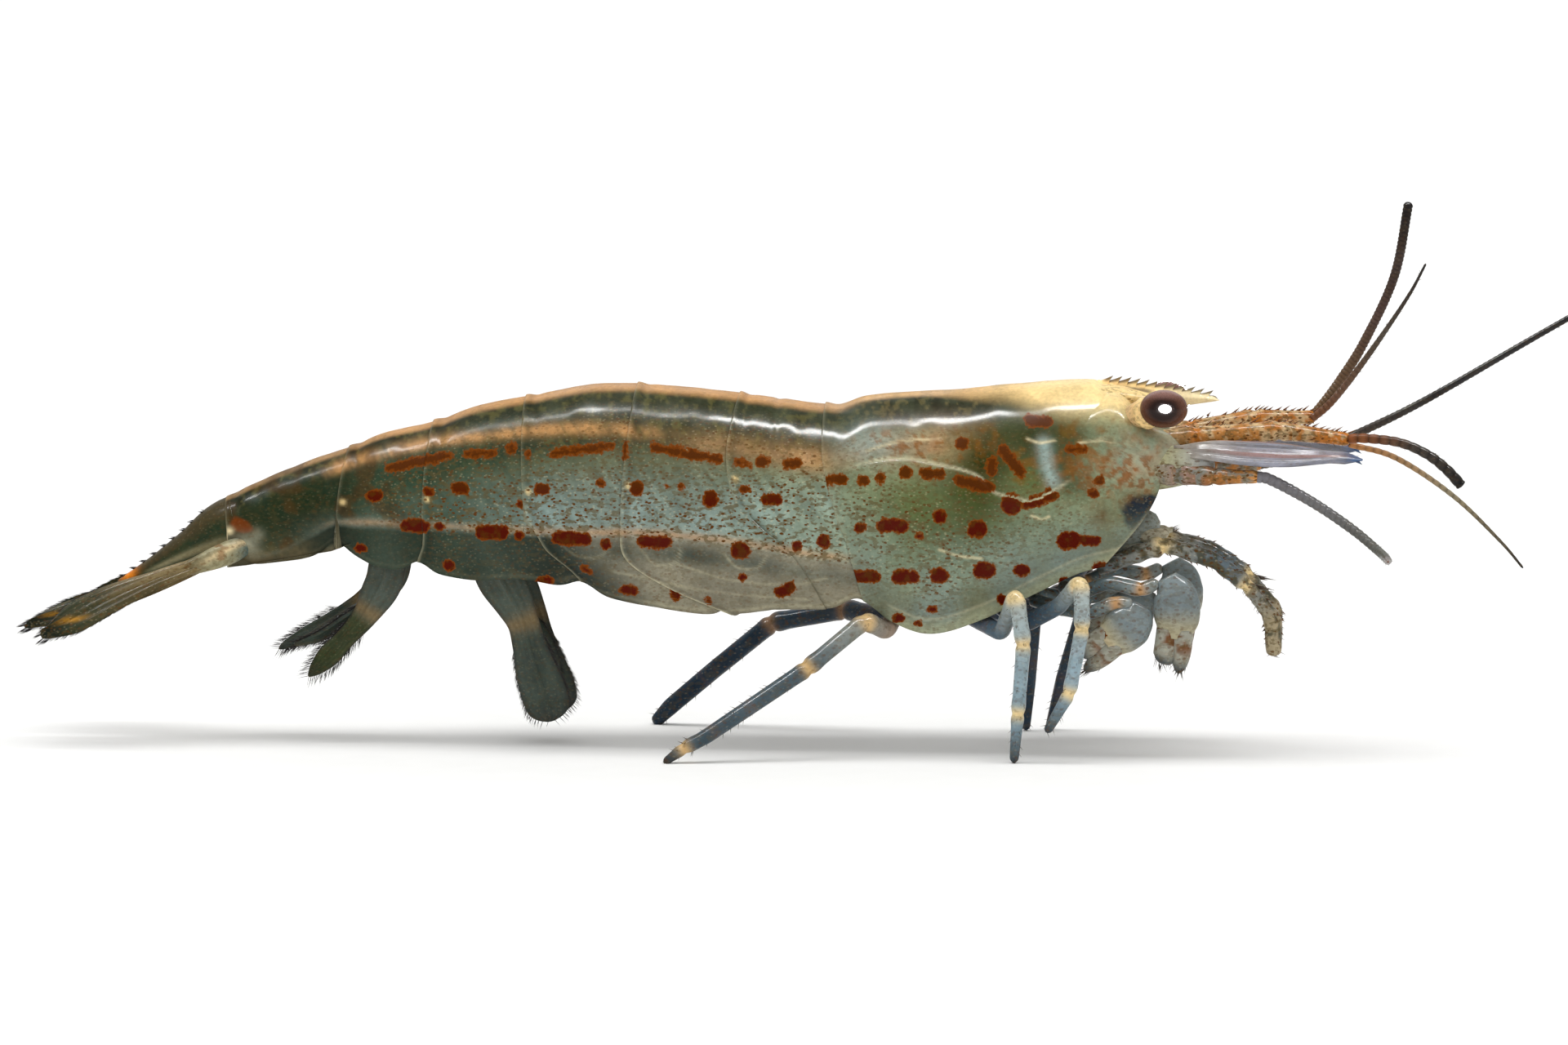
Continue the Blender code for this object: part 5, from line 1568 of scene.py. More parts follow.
def make_whip(name, points, side, thick, ring, colours, bands, fuzz=0):
    """A tapering feeler of short rings. `thick` is its radius at the start, the middle and the end."""
    path, places = curve_path(mirrored(points, side), 0.035)
    share = places / places[-1]
    bead = np.abs(np.sin(np.pi * (places / ring % 1.0))) ** 0.6
    size = np.interp(share, HALVES, thick) * (0.86 + 0.14 * bead) * closed_off(share, 0.015, 0.06)
    tint = between_stops(share, HALVES, colours) * (1 - bands + bands * bead)[:, None]
    parcel = Parcel()
    frames = add_tube(parcel, path, size, size, (0, 0.3, 1), WHIP_SIDES, tint, 0.15)
    if fuzz:
        random = np.random.default_rng(len(name) + fuzz)
        row = random.integers(4, len(path) - 4, fuzz)
        out = around_limb(random, (frames,), row, fuzz)
        add_bristles(parcel, path[row] + out * size[row, None] * 0.8, out + frames[0][row],
                     random.uniform(0.10, 0.2, fuzz), UMBER * 0.4, 0.012)
    make_piece(name, parcel, feeler_brown)


GREY_BROWN = mix(UMBER, srgb(120, 92, 84), 0.6)
CHARCOAL = srgb(44, 42, 42)
make_whip("antennule_outer_R", [(23.0, 1.3, 12.85), (23.6, 1.50, 12.9), (25.0, 1.60, 12.75),
                                (26.1, 1.65, 12.3), (26.9, 1.68, 11.7), (27.55, 1.70, 11.0)],
          RIGHT, (.20, .20, .23), 0.42,
          (mix(RUST, UMBER, .4), mix(UMBER, CHARCOAL, .4), CHARCOAL * .5), 0.75, fuzz=50)
make_whip("antennule_inner_R", [(23.0, .85, 12.6), (24.9, .75, 12.05), (27.2, .85, 10.55),
                                (29.1, 1.0, 8.75), (30.05, 1.1, 7.65)],
          RIGHT, (.13, .11, .05), 0.34, (mix(TAN, RUST, .4), mix(UMBER, CREAM, .3), CHARCOAL), 0.55)
make_whip("antennule_outer_L", [(21.5, 1.3, 13.5), (22.0, 1.36, 14.1), (22.7, 1.40, 15.1),
                                (23.6, 1.45, 16.6), (24.8, 1.5, 19.3), (25.35, 1.55, 22.3)],
          LEFT, (.23, .19, .20), 0.17, (mix(UMBER, TAN, .3) * .8, GREY_BROWN * .6, CHARCOAL * .6), 0.45)
make_whip("antennule_inner_L", [(21.5, .75, 13.5), (22.2, .68, 14.1), (23.1, .62, 15.2),
                                (24.3, .6, 16.9), (25.4, .6, 18.6), (26.05, .6, 19.85)],
          LEFT, (.17, .12, .05), 0.22, (mix(UMBER, RUST, .3), UMBER, CHARCOAL), 0.35, fuzz=40)

# %% [markdown]
# The base of the small feelers is three stout sleeves, amber with cream mottling, freckled with rust and
# fringed with little thorns above. It is a jointed limb like the legs, so the same function builds it.
# The thorns follow the top of the limb, because on the real animal they guard its upper side only.

# %% Model the bases of the small feelers
BASE_R = [(13.95, 0.80, 12.60), (16.9, 0.95, 12.86), (20.2, 1.05, 13.15), (23.1, 1.10, 12.80)]
BASE_L = [(13.95, 0.80, 12.60), (16.6, 0.95, 12.95), (19.2, 1.00, 13.45), (21.7, 1.02, 13.55)]
TOP_THORNS = 26
peduncle_amber = shell_material("peduncle_amber", gloss=0.28, coat=0.2, glow=0.12, grain=0.35,
                                freckle_size=0.17)


def make_feeler_base(points, side, label):
    """Three amber sleeves with thorns along the top."""
    parcel = Parcel()
    skin = [mix(SAGE, CREAM, .4) * .8, mix(TAN, AMBER, .4) * .75, mix(TAN, AMBER, .7) * .8,
            mix(AMBER, RUST, .5) * .9]
    limb = add_limb(parcel, points, [.42, .48, .45, .27], skin, side, (1, 2, 3), reach=0.2, seed=130,
                    gold=mix(AMBER, RUST, .3), gold_width=0.22, specks=0.9,
                    patches=mix(CREAM, TAN, .45) * .9)
    path, places, corners, size, (along, across, third) = limb
    random = np.random.default_rng(131)
    row = np.linspace(0.34 * len(path), 0.99 * len(path), TOP_THORNS).astype(int) - 1
    up = np.array((0, 0, 1.0)) + random.normal(size=(TOP_THORNS, 3)) * 0.10
    tall = random.uniform(0.14, 0.30, TOP_THORNS) + 0.1
    add_bristles(parcel, path[row] + up * (size[row] * 0.80)[:, None], up + along[row] * 1.5, tall,
                 mix(UMBER * 0.5, RUST, .35), 0.055)
    add_leg_hairs(parcel, limb, 1, 3, 90, 0.16, UMBER * 0.5, seed=132)
    make_piece(f"antennule_base_{label}", parcel, peduncle_amber)


make_feeler_base(BASE_R, RIGHT, "R")
make_feeler_base(BASE_L, LEFT, "L")

# %% [markdown]
# ## The long feelers
#
# The two longest feelers grow from stout bases low on the head. The right one sweeps down and then out
# to the side, and the left one rises straight ahead. Each is two nodes in the frame, so each is two
# pieces here that meet at the same thickness and colour. One long tube per feeler would be less work, but
# every node of the frame needs a piece of its own.

# %% Model the long feelers
make_whip("antenna_whip_R", [(19.3, 2.80, 11.42), (19.9, 2.83, 11.3), (21.6, 2.95, 10.40),
                             (23.2, 3.30, 9.35), (24.3, 4.60, 8.55), (24.5, 8.50, 8.70),
                             (24.45, 13.2, 9.16)],
          RIGHT, (.24, .18, .15), 0.26, (mix(LILAC, UMBER, .55), mix(UMBER, PLEURA, .5), UMBER), 0.18,
          fuzz=40)
make_whip("antenna_tip_R", [(24.45, 13.2, 9.16), (24.38, 18.0, 9.65), (24.33, 23.0, 10.15),
                            (24.3, 27.9, 10.64)],
          RIGHT, (.15, .11, .05), 0.26, (UMBER, UMBER, GREY_BROWN), 0.2)
make_whip("antenna_whip_L", [(19.3, 2.80, 11.42), (21.3, 3.60, 11.75), (23.5, 3.9, 12.70),
                             (26.1, 4.1, 14.0), (30.5, 4.6, 16.55), (34.7, 5.25, 18.95)],
          LEFT, (.22, .15, .12), 0.24, (UMBER, CHARCOAL, CHARCOAL), 0.2, fuzz=60)
make_whip("antenna_tip_L", [(34.7, 5.25, 18.95), (39.0, 6.3, 21.2), (43.0, 7.7, 22.8), (46.9, 9.3, 23.88)],
          LEFT, (.12, .09, .04), 0.24, (CHARCOAL, CHARCOAL, UMBER), 0.2)

ANTENNA_BASE = [(14.9, 1.80, 11.55), (16.2, 2.15, 11.50), (17.6, 2.55, 11.40), (19.5, 2.80, 11.42)]
BASE_SKIN = [mix(SAGE, CREAM, .3) * .8, mix(LILAC, TAN, .4) * .8, mix(TAN, RUST, .6) * .7,
             mix(TAN, AMBER, .5)]
for side, label in SIDES:
    parcel = Parcel()
    limb = add_limb(parcel, ANTENNA_BASE, [.66, .54, .40, .25], BASE_SKIN, side, (1, 2, 3), reach=0.3,
                    seed=140, gold=mix(AMBER, UMBER, .5), gold_width=0.16, specks=0.9,
                    patches=mix(LILAC, SAGE, .5) * .7)
    add_leg_hairs(parcel, limb, 1, 3, 30, 0.14, UMBER * 0.5, seed=141)
    make_piece(f"antenna_base_{label}", parcel, peduncle_amber)

# %% [markdown]
# ## Leaves: scale, swimmerets and tail fan
#
# Several limbs of a shrimp are flat leaves: the scale beside each long feeler, the swimmerets under the
# tail and the blades of the tail fan. All share one recipe. A grid runs along the leaf and around its
# thin lens-shaped section, with a raised rib down the middle and finer ribs beside it. The edges carry a
# fringe of feathery bristles, made as real hairs rather than as a picture of them.

# %% Build a leaf
LEAF_SIDES = 48
LEAF_STEP = 0.07


def add_leaf(parcel, points, half_widths, wide_axis, side, thick, paint, ribs, freckle=0.2, blunt=0.93):
    """A leaf along a curve. `paint` turns the share along it and across it into a colour."""
    path, places = curve_path(mirrored(points, side), LEAF_STEP)
    share = places / places[-1]
    table = np.column_stack((np.linspace(0, 1, len(half_widths)), half_widths))
    wide = read_smooth(table, share)[0] * closed_off(share, 1 - blunt, 0.04)
    along, across, third = directions(path, mirrored(wide_axis, side))
    turns = turns_of(LEAF_SIDES)[None, :]
    over = np.cos(turns)
    ridge = 1 + 0.8 * hump(over, 0.13) + 0.35 * np.cos(over * np.pi * 2 * ribs) * (1 - over**2)
    lift = np.sin(turns) * thick * (0.55 + 0.45 * np.sqrt(np.clip(1 - over**2, 0, 1))) * ridge
    lift = (lift * np.minimum(1, wide / 0.25)[:, None])[..., None]
    sideways = (wide[:, None] * over)[..., None]
    tint = paint(share[:, None] + 0 * over, over + 0 * share[:, None])
    tint = tint * (0.82 + 0.22 * ridge / 1.8)[..., None]
    parcel.add(path[:, None] + across[:, None] * sideways + third[:, None] * lift,
               tube_faces(len(path), LEAF_SIDES), tint, SPOTLESS, freckle)
    return path, share, wide, along, across


def add_fringe(parcel, leaf, start, end, count, length, tint, seed, sides=(1, -1), lean=1.0):
    """Bristles along the edges of a leaf, from `start` to `end` of its length."""
    path, share, wide, along, across = leaf
    random = np.random.default_rng(seed)
    for way in sides:
        row = np.clip(np.searchsorted(share, random.uniform(start, end, count)), 0, len(path) - 1)
        roots = path[row] + across[row] * (wide[row] * 0.96 * way)[:, None]
        ways = across[row] * way + along[row] * lean + random.normal(size=(count, 3)) * 0.16
        add_bristles(parcel, roots, ways, length * random.uniform(0.6, 1.15, count), tint, 0.014)


print("each leaf has", LEAF_SIDES, "points round its section")

# %% [markdown]
# The scale is a stiff leaf that steers the animal when it darts back. It is lilac glass with smoky clouds
# and brown ribs, its outer edge carries the fringe, and its tip turns down in a small blue hook. The hook
# is one thick bristle, which is quicker than bending the whole leaf and keeps its tip sharp.

# %% Model the scales beside the feelers
scale_lilac = shell_material("scale_lilac", gloss=0.32, coat=0.2, glow=0.15, grain=0.16)


def paint_scale(share, over):
    """Lilac glass with brown ribs, blue at the tip."""
    smoke = cloud(share * 2.0, over * 1.1, 0.16, seed=151)
    tint = mix(LILAC, CREAM, ease(0.5, 0.0, share) * 0.35 + 0.0 * over) * (0.45 + 0.65 * smoke)[..., None]
    tint = mix(tint, mix(RUST, LILAC, 0.35), hump(over - 0.30, 0.16) * ease(0.1, 0.4, share) * 0.75)
    tint = mix(tint, UMBER, hump(over + 0.45, 0.12) * ease(0.15, 0.4, share) * 0.45)
    tint = mix(tint, AMBER, hump(over + 0.95, 0.10) * 0.4)
    return mix(tint, srgb(70, 104, 150), ease(0.86, 0.98, share) * 0.85)


SCALE = [(16.0, 2.0, 12.35), (17.4, 2.2, 12.42), (18.9, 2.38, 12.33), (20.8, 2.50, 12.25),
         (22.6, 2.55, 12.20), (23.55, 2.60, 12.12)]
HOOK = np.array([(0.8, 0.0, -0.55)])
for side, label in SIDES:
    parcel = Parcel()
    leaf = add_leaf(parcel, SCALE, [.34, .66, .80, .76, .44, .17], (0, .84, -.54), side, 0.15,
                    paint_scale, 4, blunt=0.80)
    add_fringe(parcel, leaf, 0.30, 0.97, 110, 0.30, mix(LILAC, UMBER, .6), seed=150, sides=(-1,), lean=2.0)
    add_bristles(parcel, leaf[0][-6:-5], HOOK, np.array((0.42,)), srgb(60, 84, 120), 0.13)
    make_piece(f"antenna_scale_{label}", parcel, scale_lilac)

# %% [markdown]
# ## Swimmerets
#
# Under the tail hang five pairs of swimming legs. Each has a broad stem, a golden joint and one or two
# leaves fringed with bristles. The first three pairs are folded up between the side flaps. The fourth
# pair hangs straight down with both its leaves together, and of the fifth the right one trails back low
# while the left one streams out behind it, with its two leaves apart. Stem and leaf are one long leaf with
# a waist between them. A golden band painted at the waist looks like the joint, without any seam to close.

# %% Model the swimmerets
SWIM_DARK = srgb(66, 76, 68)
SWIM_GREEN = srgb(58, 66, 40)
LENGTHWAYS = (1, 0, 0)
swimmeret_grey = shell_material("swimmeret_grey", gloss=0.30, coat=0.32, glow=0.10, grain=0.28)


def paint_swimmeret(joint, base, blade):
    """Grey-green leaf with a golden band at `joint` of its length, darker at the rim and the tip."""
    def paint(share, over):
        """The colour at a share along the leaf and a share across it."""
        fine = cloud(share * 6, over * 1.2, 0.6, seed=160)
        tint = mix(base, blade, ease(joint - 0.02, joint + 0.10, share)) * (0.75 + 0.5 * fine)[..., None]
        tint = mix(tint, srgb(136, 112, 74), hump(share - joint, 0.045) * 0.7)
        dark = ease(0.72, 1.0, np.abs(over)) + ease(0.85, 1, share)
        return mix(tint, CHARCOAL, np.clip(dark, 0, 1) * 0.55)
    return paint


def make_swimmeret(name, side, leaves, fringe=0.5):
    """One swimmeret from its leaves: each is (points, half widths, wide axis, joint share, blade colour)."""
    parcel = Parcel()
    for number, (points, widths, axis, joint, blade) in enumerate(leaves):
        paint = paint_swimmeret(joint, PLEURA * 0.75, blade)
        leaf = add_leaf(parcel, points, widths, axis, side, 0.17, paint, 3)
        add_fringe(parcel, leaf, min(joint + 0.12, 0.9), 1.0, 150, fringe, CHARCOAL, seed=161 + number,
                   lean=1.6)
    make_piece(name, parcel, swimmeret_grey)


FOURTH = [(-12.3, 1.25, 8.75), (-12.0, 1.28, 8.0), (-11.55, 1.3, 6.9), (-10.95, 1.33, 5.8),
          (-10.6, 1.35, 5.05), (-10.4, 1.35, 4.3), (-10.05, 1.33, 3.0), (-9.68, 1.3, 1.9), (-9.45, 1.3, 1.0)]
FOURTH_WIDE = [.85, .95, .98, .82, .66, .72, .88, .95, .80]
INNER_FOURTH = [(-10.8, 1.0, 5.2), (-10.3, .8, 4.2), (-9.9, .7, 3.0), (-9.7, .6, 1.9)]
FOLDED_ROOTS = {1: -1.3, 2: -5.0, 3: -8.9}
for side, label in SIDES:
    for number, root in FOLDED_ROOTS.items():
        folded = [(root - .1, 1.25, 8.7), (root, 1.3, 7.9), (root + .3, 1.3, 7.45), (root + 1.0, 1.3, 7.15),
                  (root + 2.6, 1.25, 7.0)]
        make_swimmeret(f"swimmeret_{number}_{label}", side,
                       [(folded, [.40, .42, .45, .52, .28], (0, 1, 0), 0.42, SWIM_DARK)], 0.22)
    make_swimmeret(f"swimmeret_4_{label}", side,
                   [(FOURTH, FOURTH_WIDE, LENGTHWAYS, 0.49, SWIM_DARK),
                    (INNER_FOURTH, [.3, .55, .6, .3], LENGTHWAYS, 0.0, SWIM_DARK)], 0.34)

NEAR_FIFTH = [(-16.1, .8, 8.3), (-16.25, .8, 7.6), (-16.4, .9, 6.7), (-16.8, 1.0, 5.9), (-17.3, 1.1, 5.1),
              (-18.1, 1.2, 4.2), (-19.5, 1.4, 2.75)]
FAR_FIFTH = [(-16.1, .8, 8.3), (-16.25, .8, 7.6), (-16.5, .9, 6.7), (-17.2, 1.0, 5.8), (-18.3, 1.1, 5.2),
             (-19.6, 1.2, 4.5), (-21.2, 1.4, 3.55)]
SECOND_NEAR = [(-16.9, .8, 5.8), (-17.9, .7, 5.2), (-19.2, .75, 4.4), (-20.2, .8, 4.0)]
SECOND_FAR = [(-17.3, 1.2, 5.6), (-18.6, 1.6, 4.5), (-20.0, 1.7, 3.9), (-20.9, 1.6, 3.7)]
make_swimmeret("swimmeret_5_R", RIGHT,
               [(NEAR_FIFTH, [.70, .78, .74, .52, .42, .46, .16], LENGTHWAYS, 0.46, SWIM_GREEN),
                (SECOND_NEAR, [.25, .32, .26, .1], (.4, .5, .6), 0.0, SWIM_DARK)])
make_swimmeret("swimmeret_5_L", LEFT,
               [(FAR_FIFTH, [.70, .78, .74, .42, .28, .26, .16], (.5, 0, .5), 0.46, SWIM_DARK),
                (SECOND_FAR, [.2, .22, .18, .1], (.4, .2, .6), 0.0, SWIM_DARK)])

# %% [markdown]
# ## The tail fan
#
# The tail ends in a narrow middle plate, the telson, and two leaves on each side. The telson is dark
# olive, with a cream rib along its side, partly pale shell and partly a painted highlight, an orange spot
# near its tip, two rows of tiny spines on its back and a fan of bristles at its end. It is thick at the
# root and flat at the tip, which a tube can be and a leaf can't, so the telson is a flattened tube.

# %% Model the telson
TELSON = [(-22.5, 0, 8.95), (-23.4, 0, 8.65), (-24.5, 0, 8.02), (-26.0, 0, 7.18), (-27.6, 0, 6.38)]
TELSON_SIDES = 48
SPINE_PAIRS = 9
END_BRISTLES = 8
tail_shell = shell_material("tail_shell", gloss=0.26, coat=0.15, glow=0.06, grain=0.28)


def make_telson():
    """The middle plate of the fan, a flattened tube with spines."""
    parcel = Parcel()
    path, places = curve_path(TELSON, 0.05)
    share = places / places[-1]
    wide = np.interp(share, (0, .12, .3, .6, .93, 1), (1.27, 1.20, 1.02, .76, .42, .18))
    thick = np.interp(share, (0, .10, .22, .4, .7, 1), (1.22, 1.14, .98, .72, .42, .15))
    fine = cloud(places, share, 0.5, seed=171)
    height = -np.sin(turns_of(TELSON_SIDES))[None, :]
    far = share[:, None] + 0.0 * height
    tint = mix(srgb(44, 60, 38), TAIL_BROWN * 0.55, ease(0.25, 0.75, height + 0.5 * fine[:, None]))
    tint = mix(tint, DARK_TEAL * 0.8, ease(0.5, 0.0, far) * ease(0.6, 0.2, height) * 0.5)
    # A cream rib along the side, partly pale shell and partly a painted highlight.
    rib_and_highlight = hump(height + 0.60 - 0.6 * far, 0.20) * ease(0.85, 0.6, far)
    tint = mix(tint, mix(CREAM, SAGE, 0.4) * 0.9, rib_and_highlight * 0.75)
    tint = mix(tint, srgb(226, 130, 30), hump(far - 0.90, 0.07) * ease(0.1, 0.5, height + 0.4))
    along, across, third = add_tube(parcel, path, wide, thick, (0, 1, 0), TELSON_SIDES, tint, 0.2)
    up = np.where(third[:, 2:3] > 0, third, -third)
    row = np.repeat(np.linspace(0.20, 0.94, SPINE_PAIRS) * (len(path) - 1), 2).astype(int)
    sideways = np.tile((1.0, -1.0), SPINE_PAIRS) * wide[row] * 0.30
    roots = path[row] + across[row] * sideways[:, None] + up[row] * (thick[row] * 0.90)[:, None]
    add_bristles(parcel, roots, along[row] * 1.6 + up[row], np.full(2 * SPINE_PAIRS, 0.30), CHARCOAL, 0.06)
    row = np.full(END_BRISTLES, len(path) - 3)
    spread = across[row] * np.linspace(-0.30, 0.30, END_BRISTLES)[:, None]
    add_bristles(parcel, path[row] + spread * 0.6, along[row] + spread, np.full(END_BRISTLES, 0.42),
                 CHARCOAL, 0.03)
    make_piece("telson", parcel, tail_shell)


make_telson()

# %% [markdown]
# The side leaves are the darkest part of the animal: beige at the root, then brown-olive, with a small
# yellow glow near the tip and a dark fringe at the end. A plump lobe of muscle carries them, with rust
# patches and a cream crest that is partly pale shell and partly a painted highlight. It could be part of
# the last ring, but it swings with the leaves in life, so it belongs to the outer leaf's piece.

# %% Model the side leaves of the fan
HINGE = [(-21.9, 0.80, 8.02), (-22.4, 1.35, 7.98), (-23.1, 1.90, 7.72), (-24.0, 2.30, 7.38),
         (-25.2, 2.72, 6.98)]
HINGE_SIDES = 32
FAN = {
    "inner": ([(-22.6, 0.95, 8.0), (-24.0, 1.25, 7.35), (-26.0, 1.48, 6.48), (-28.2, 1.54, 5.70),
               (-30.2, 1.5, 5.12), (-31.3, 1.42, 4.68)], [.35, .46, .52, .58, .56, .34], (0, .66, -.75)),
    "outer": ([(-22.7, 1.55, 7.78), (-23.7, 2.15, 7.50), (-25.4, 2.8, 6.90), (-27.4, 3.15, 6.05),
               (-29.2, 3.3, 5.1), (-30.2, 3.3, 4.5)], [.12, .36, .50, .78, .92, .55], (0, .70, -.71)),
}


def paint_tail_leaf(share, over):
    """Beige, then brown-olive, yellow near the tip, dark at the very end."""
    fine = cloud(share * 8, over * 1.5, 0.7, seed=170)
    beige = srgb(142, 124, 86)
    tint = mix(beige, TAIL_BROWN * 0.75, ease(0.30, 0.72, share + 0.15 * over + 0.2 * fine))
    tint = mix(tint, DARK_TEAL * 0.8, ease(0.45, 0.8, share) * (0.3 + 0.6 * fine))
    tint = mix(tint, beige * 1.1, hump(over - 0.1, 0.20) * 0.5 * ease(0.75, 0.4, share))
    glow = hump(share - 0.84, 0.08) * hump(over - 0.20 + 3.0 * (share - 0.84), 0.13)
    tint = mix(tint, srgb(200, 140, 36), glow * 0.85)
    return mix(tint, mix(CHARCOAL, DARK_TEAL, 0.5) * 0.5, ease(0.82, 0.95, share) * 0.9)


def add_hinge(parcel, side):
    """The lobe of muscle that carries the side leaves."""
    path, places = curve_path(mirrored(HINGE, side), 0.05)
    share = places / places[-1]
    plump = softened(np.interp(share, (0, .10, .22, .45, .7, 1), (.20, .38, .50, .47, .33, .10)), 5)
    shade = cloud(places, share, 0.4, seed=172)
    pale = mix(CREAM, SAGE, 0.5) * 0.85
    skin = mix(mix(MIST, DARK_TEAL, 0.5), pale, ease(0.15, 0.45, share + 0.15 * shade))
    skin = mix(skin, srgb(116, 102, 70), ease(0.45, 0.85, share)) * (0.65 + 0.4 * shade)[:, None]
    height = np.cos(turns_of(HINGE_SIDES))[None, :]
    share = share[:, None]
    mottled = cloud(places[:, None], 0.6 * height, 0.35, seed=173)
    skin = skin[:, None] * (0.55 + 0.75 * mottled)[..., None]
    # The cream crest along the top is partly pale shell and partly a painted highlight.
    crest = hump(height - 0.80 + 1.1 * share, 0.28) * ease(0.75, 0.4, share)
    skin = mix(skin, mix(CREAM, TAN, 0.25), crest * 0.8)
    skin = mix(skin, srgb(120, 70, 24), ease(0.58, 0.72, mottled) * ease(0.15, 0.35, share) * 0.6)
    add_tube(parcel, path, plump, 0.7 * plump, (0, 0, 1), HINGE_SIDES, skin, 0.4)


for side, label in SIDES:
    for kind, (points, widths, axis) in FAN.items():
        parcel = Parcel()
        if kind == "outer":
            add_hinge(parcel, side)
        leaf = add_leaf(parcel, points, widths, axis, side, 0.15, paint_tail_leaf, 3, freckle=0.5,
                        blunt=0.78)
        add_fringe(parcel, leaf, 0.55, 1.0, 120, 0.30, CHARCOAL * 0.7, seed=180, lean=2.4)
        add_fringe(parcel, leaf, 0.95, 1.0, 60, 0.45, CHARCOAL * 0.7, seed=181, lean=3.5)
        make_piece(f"uropod_{kind}_{label}", parcel, tail_shell)

# %% [markdown]
# ## Underneath
#
# Between the legs lies a soft cream plate divided by creases, one for each pair of legs, and in front of
# it the folded mouthparts fill the space under the head. They matter when the animal is turned over. The
# plate is a flattened tube whose thickness rises and falls with the creases: cut grooves would be truer,
# but nobody sees them this deep in the shade. The mouthparts are a lump with three pairs of small
# overlapping lobes and a few fine bristles that reach forward.

# %% Model the underside and the mouth
PALPS = 7
FORWARD = np.array((1.0, 0, 0.05))
underside_cream = shell_material("underside_cream", gloss=0.34, coat=0.32, glow=0.12, grain=0.25)


def make_underside():
    """The creased plate between the leg roots."""
    parcel = Parcel()
    path, places = curve_path([(4.3, 0, 7.50), (6.5, 0, 7.42), (9.5, 0, 7.45), (12.2, 0, 7.85)], 0.06)
    share = places / places[-1]
    crease = np.abs(np.sin(np.pi * (path[:, 0] - 5.9) / 1.8)) ** 0.5
    wide = np.interp(share, (0, .06, .3, .6, .94, 1), (1.2, 1.85, 2.2, 2.1, 1.65, 1.1))
    thick = np.interp(share, (0, .06, .3, .6, .94, 1), (.5, .72, .92, .92, .65, .4)) * (0.82 + 0.18 * crease)
    # The colour darkens in each crease: painted shade.
    tint = mix(UNDER_CREAM, SLATE, 0.4) * (0.55 + 0.45 * crease)[:, None]
    add_tube(parcel, path, wide, thick, (0, 1, 0), 60, tint, 0.4)
    make_piece("thorax_underside", parcel, underside_cream)


def make_mouthparts():
    """A lump with overlapping lobes and palps."""
    parcel = Parcel()
    path, places = curve_path([(12.75, 0, 8.45), (14.0, 0, 8.75), (15.3, 0, 9.45)], 0.06)
    share = places / places[-1]
    swell = np.sqrt(np.clip(1 - np.abs(2 * share - 1) ** 4, 0.08, 1))
    add_tube(parcel, path, 0.80 * swell, 0.72 * swell, (0, 1, 0), 36, mix(SLATE, UNDER_CREAM, .4), 0.5)
    for side in (RIGHT, LEFT):
        for number, (x, z, reach) in enumerate(((13.0, 8.1, 1.7), (13.7, 8.3, 1.9), (14.3, 8.9, 1.6))):
            points = [(x, .45, z), (x + .5 * reach, .62, z - .12), (x + reach, .5, z + .10)]
            lobe, far = curve_path(mirrored(points, side), 0.05)
            part = far / far[-1]
            size = 0.30 * np.sqrt(np.clip(1 - np.abs(2 * part - 0.8) ** 3.5, 0.06, 1))
            skin = mix(SLATE, CREAM, .25 + .15 * number)
            add_tube(parcel, lobe, size, size * 0.7, (0, 0, 1), 20, skin, 0.5)
            row = np.full(PALPS, len(lobe) - 3)
            ways = FORWARD + np.random.default_rng(190 + number).normal(size=(PALPS, 3)) * 0.35
            add_bristles(parcel, lobe[row], ways, np.full(PALPS, 0.5), UMBER * .5, 0.014)
    make_piece("mouthparts", parcel, underside_cream)


make_underside()
make_mouthparts()

# %% [markdown]
# ## A pale studio
#
# The animal stands on a sheet of plain pale paper, large enough to fill the view. A real studio would
# bend the paper up behind the subject. Here it is flat and glows a little more with distance, which hides
# its far edge just as well and keeps the soft shadow under the feet.

# %% Lay the paper
HALF_PAPER = 6.0
GLOW_FROM, GLOW_TO = 0.1, 0.65
FAR_GLOW = 0.52


def paper_material():
    """Matt white paper with a faint tooth."""
    material = bpy.data.materials.new("pale_paper")
    nodes = Nodes(material)
    skin = nodes.shader.inputs
    tooth = nodes.mix(nodes.noise(1.5), srgb(246, 246, 244), srgb(250, 250, 249))
    nodes.feed(tooth, skin["Base Color"])
    skin["Roughness"].default_value = 0.85
    skin["Specular IOR Level"].default_value = 0.1
    away = nodes.tree.nodes.new("ShaderNodeVectorMath")
    away.operation = "LENGTH"
    nodes.feed(nodes.place, away.inputs[0])
    far = nodes.step(away.outputs["Value"], GLOW_FROM, GLOW_TO)
    skin["Emission Color"].default_value = (1.0, 1.0, 1.0, 1.0)
    nodes.feed(nodes.math("MULTIPLY", far, FAR_GLOW), skin["Emission Strength"])
    return material


paper_mesh = bpy.data.meshes.new("studio_paper")
corners = [(x * HALF_PAPER, y * HALF_PAPER, 0) for x, y in ((-1, -1), (1, -1), (1, 1), (-1, 1))]
paper_mesh.from_pydata(corners, [], [(0, 1, 2, 3)])
paper_mesh.materials.append(paper_material())
paper = bpy.data.objects.new("studio_paper", paper_mesh)
bpy.context.collection.objects.link(paper)
print("paper is", 2 * HALF_PAPER, "metres wide")

# %% [markdown]
# The camera stands a quarter of a metre away and looks slightly down on the animal's right side. A small
# subject seen from nearby shows some perspective, as in a close-up lens, and the focal length follows
# from how much of the view the animal should fill. An orthographic camera would make it look like a plan.

# %% Place the camera
AIM = np.array((0.0, 0.0, 9.14)) * MM + HOME
AZIMUTH = math.radians(5.0)
ELEVATION = math.radians(5.6)
DISTANCE = 0.25
SENSOR = 36.0
LENS = 140.16
NEAREST, FARTHEST = 0.01, 50.0


def turn_to(item, place, target):
    """Put an object somewhere and turn it to face a target."""
    item.location = Vector(place)
    item.rotation_euler = (Vector(target) - Vector(place)).to_track_quat("-Z", "Y").to_euler()
    bpy.context.collection.objects.link(item)


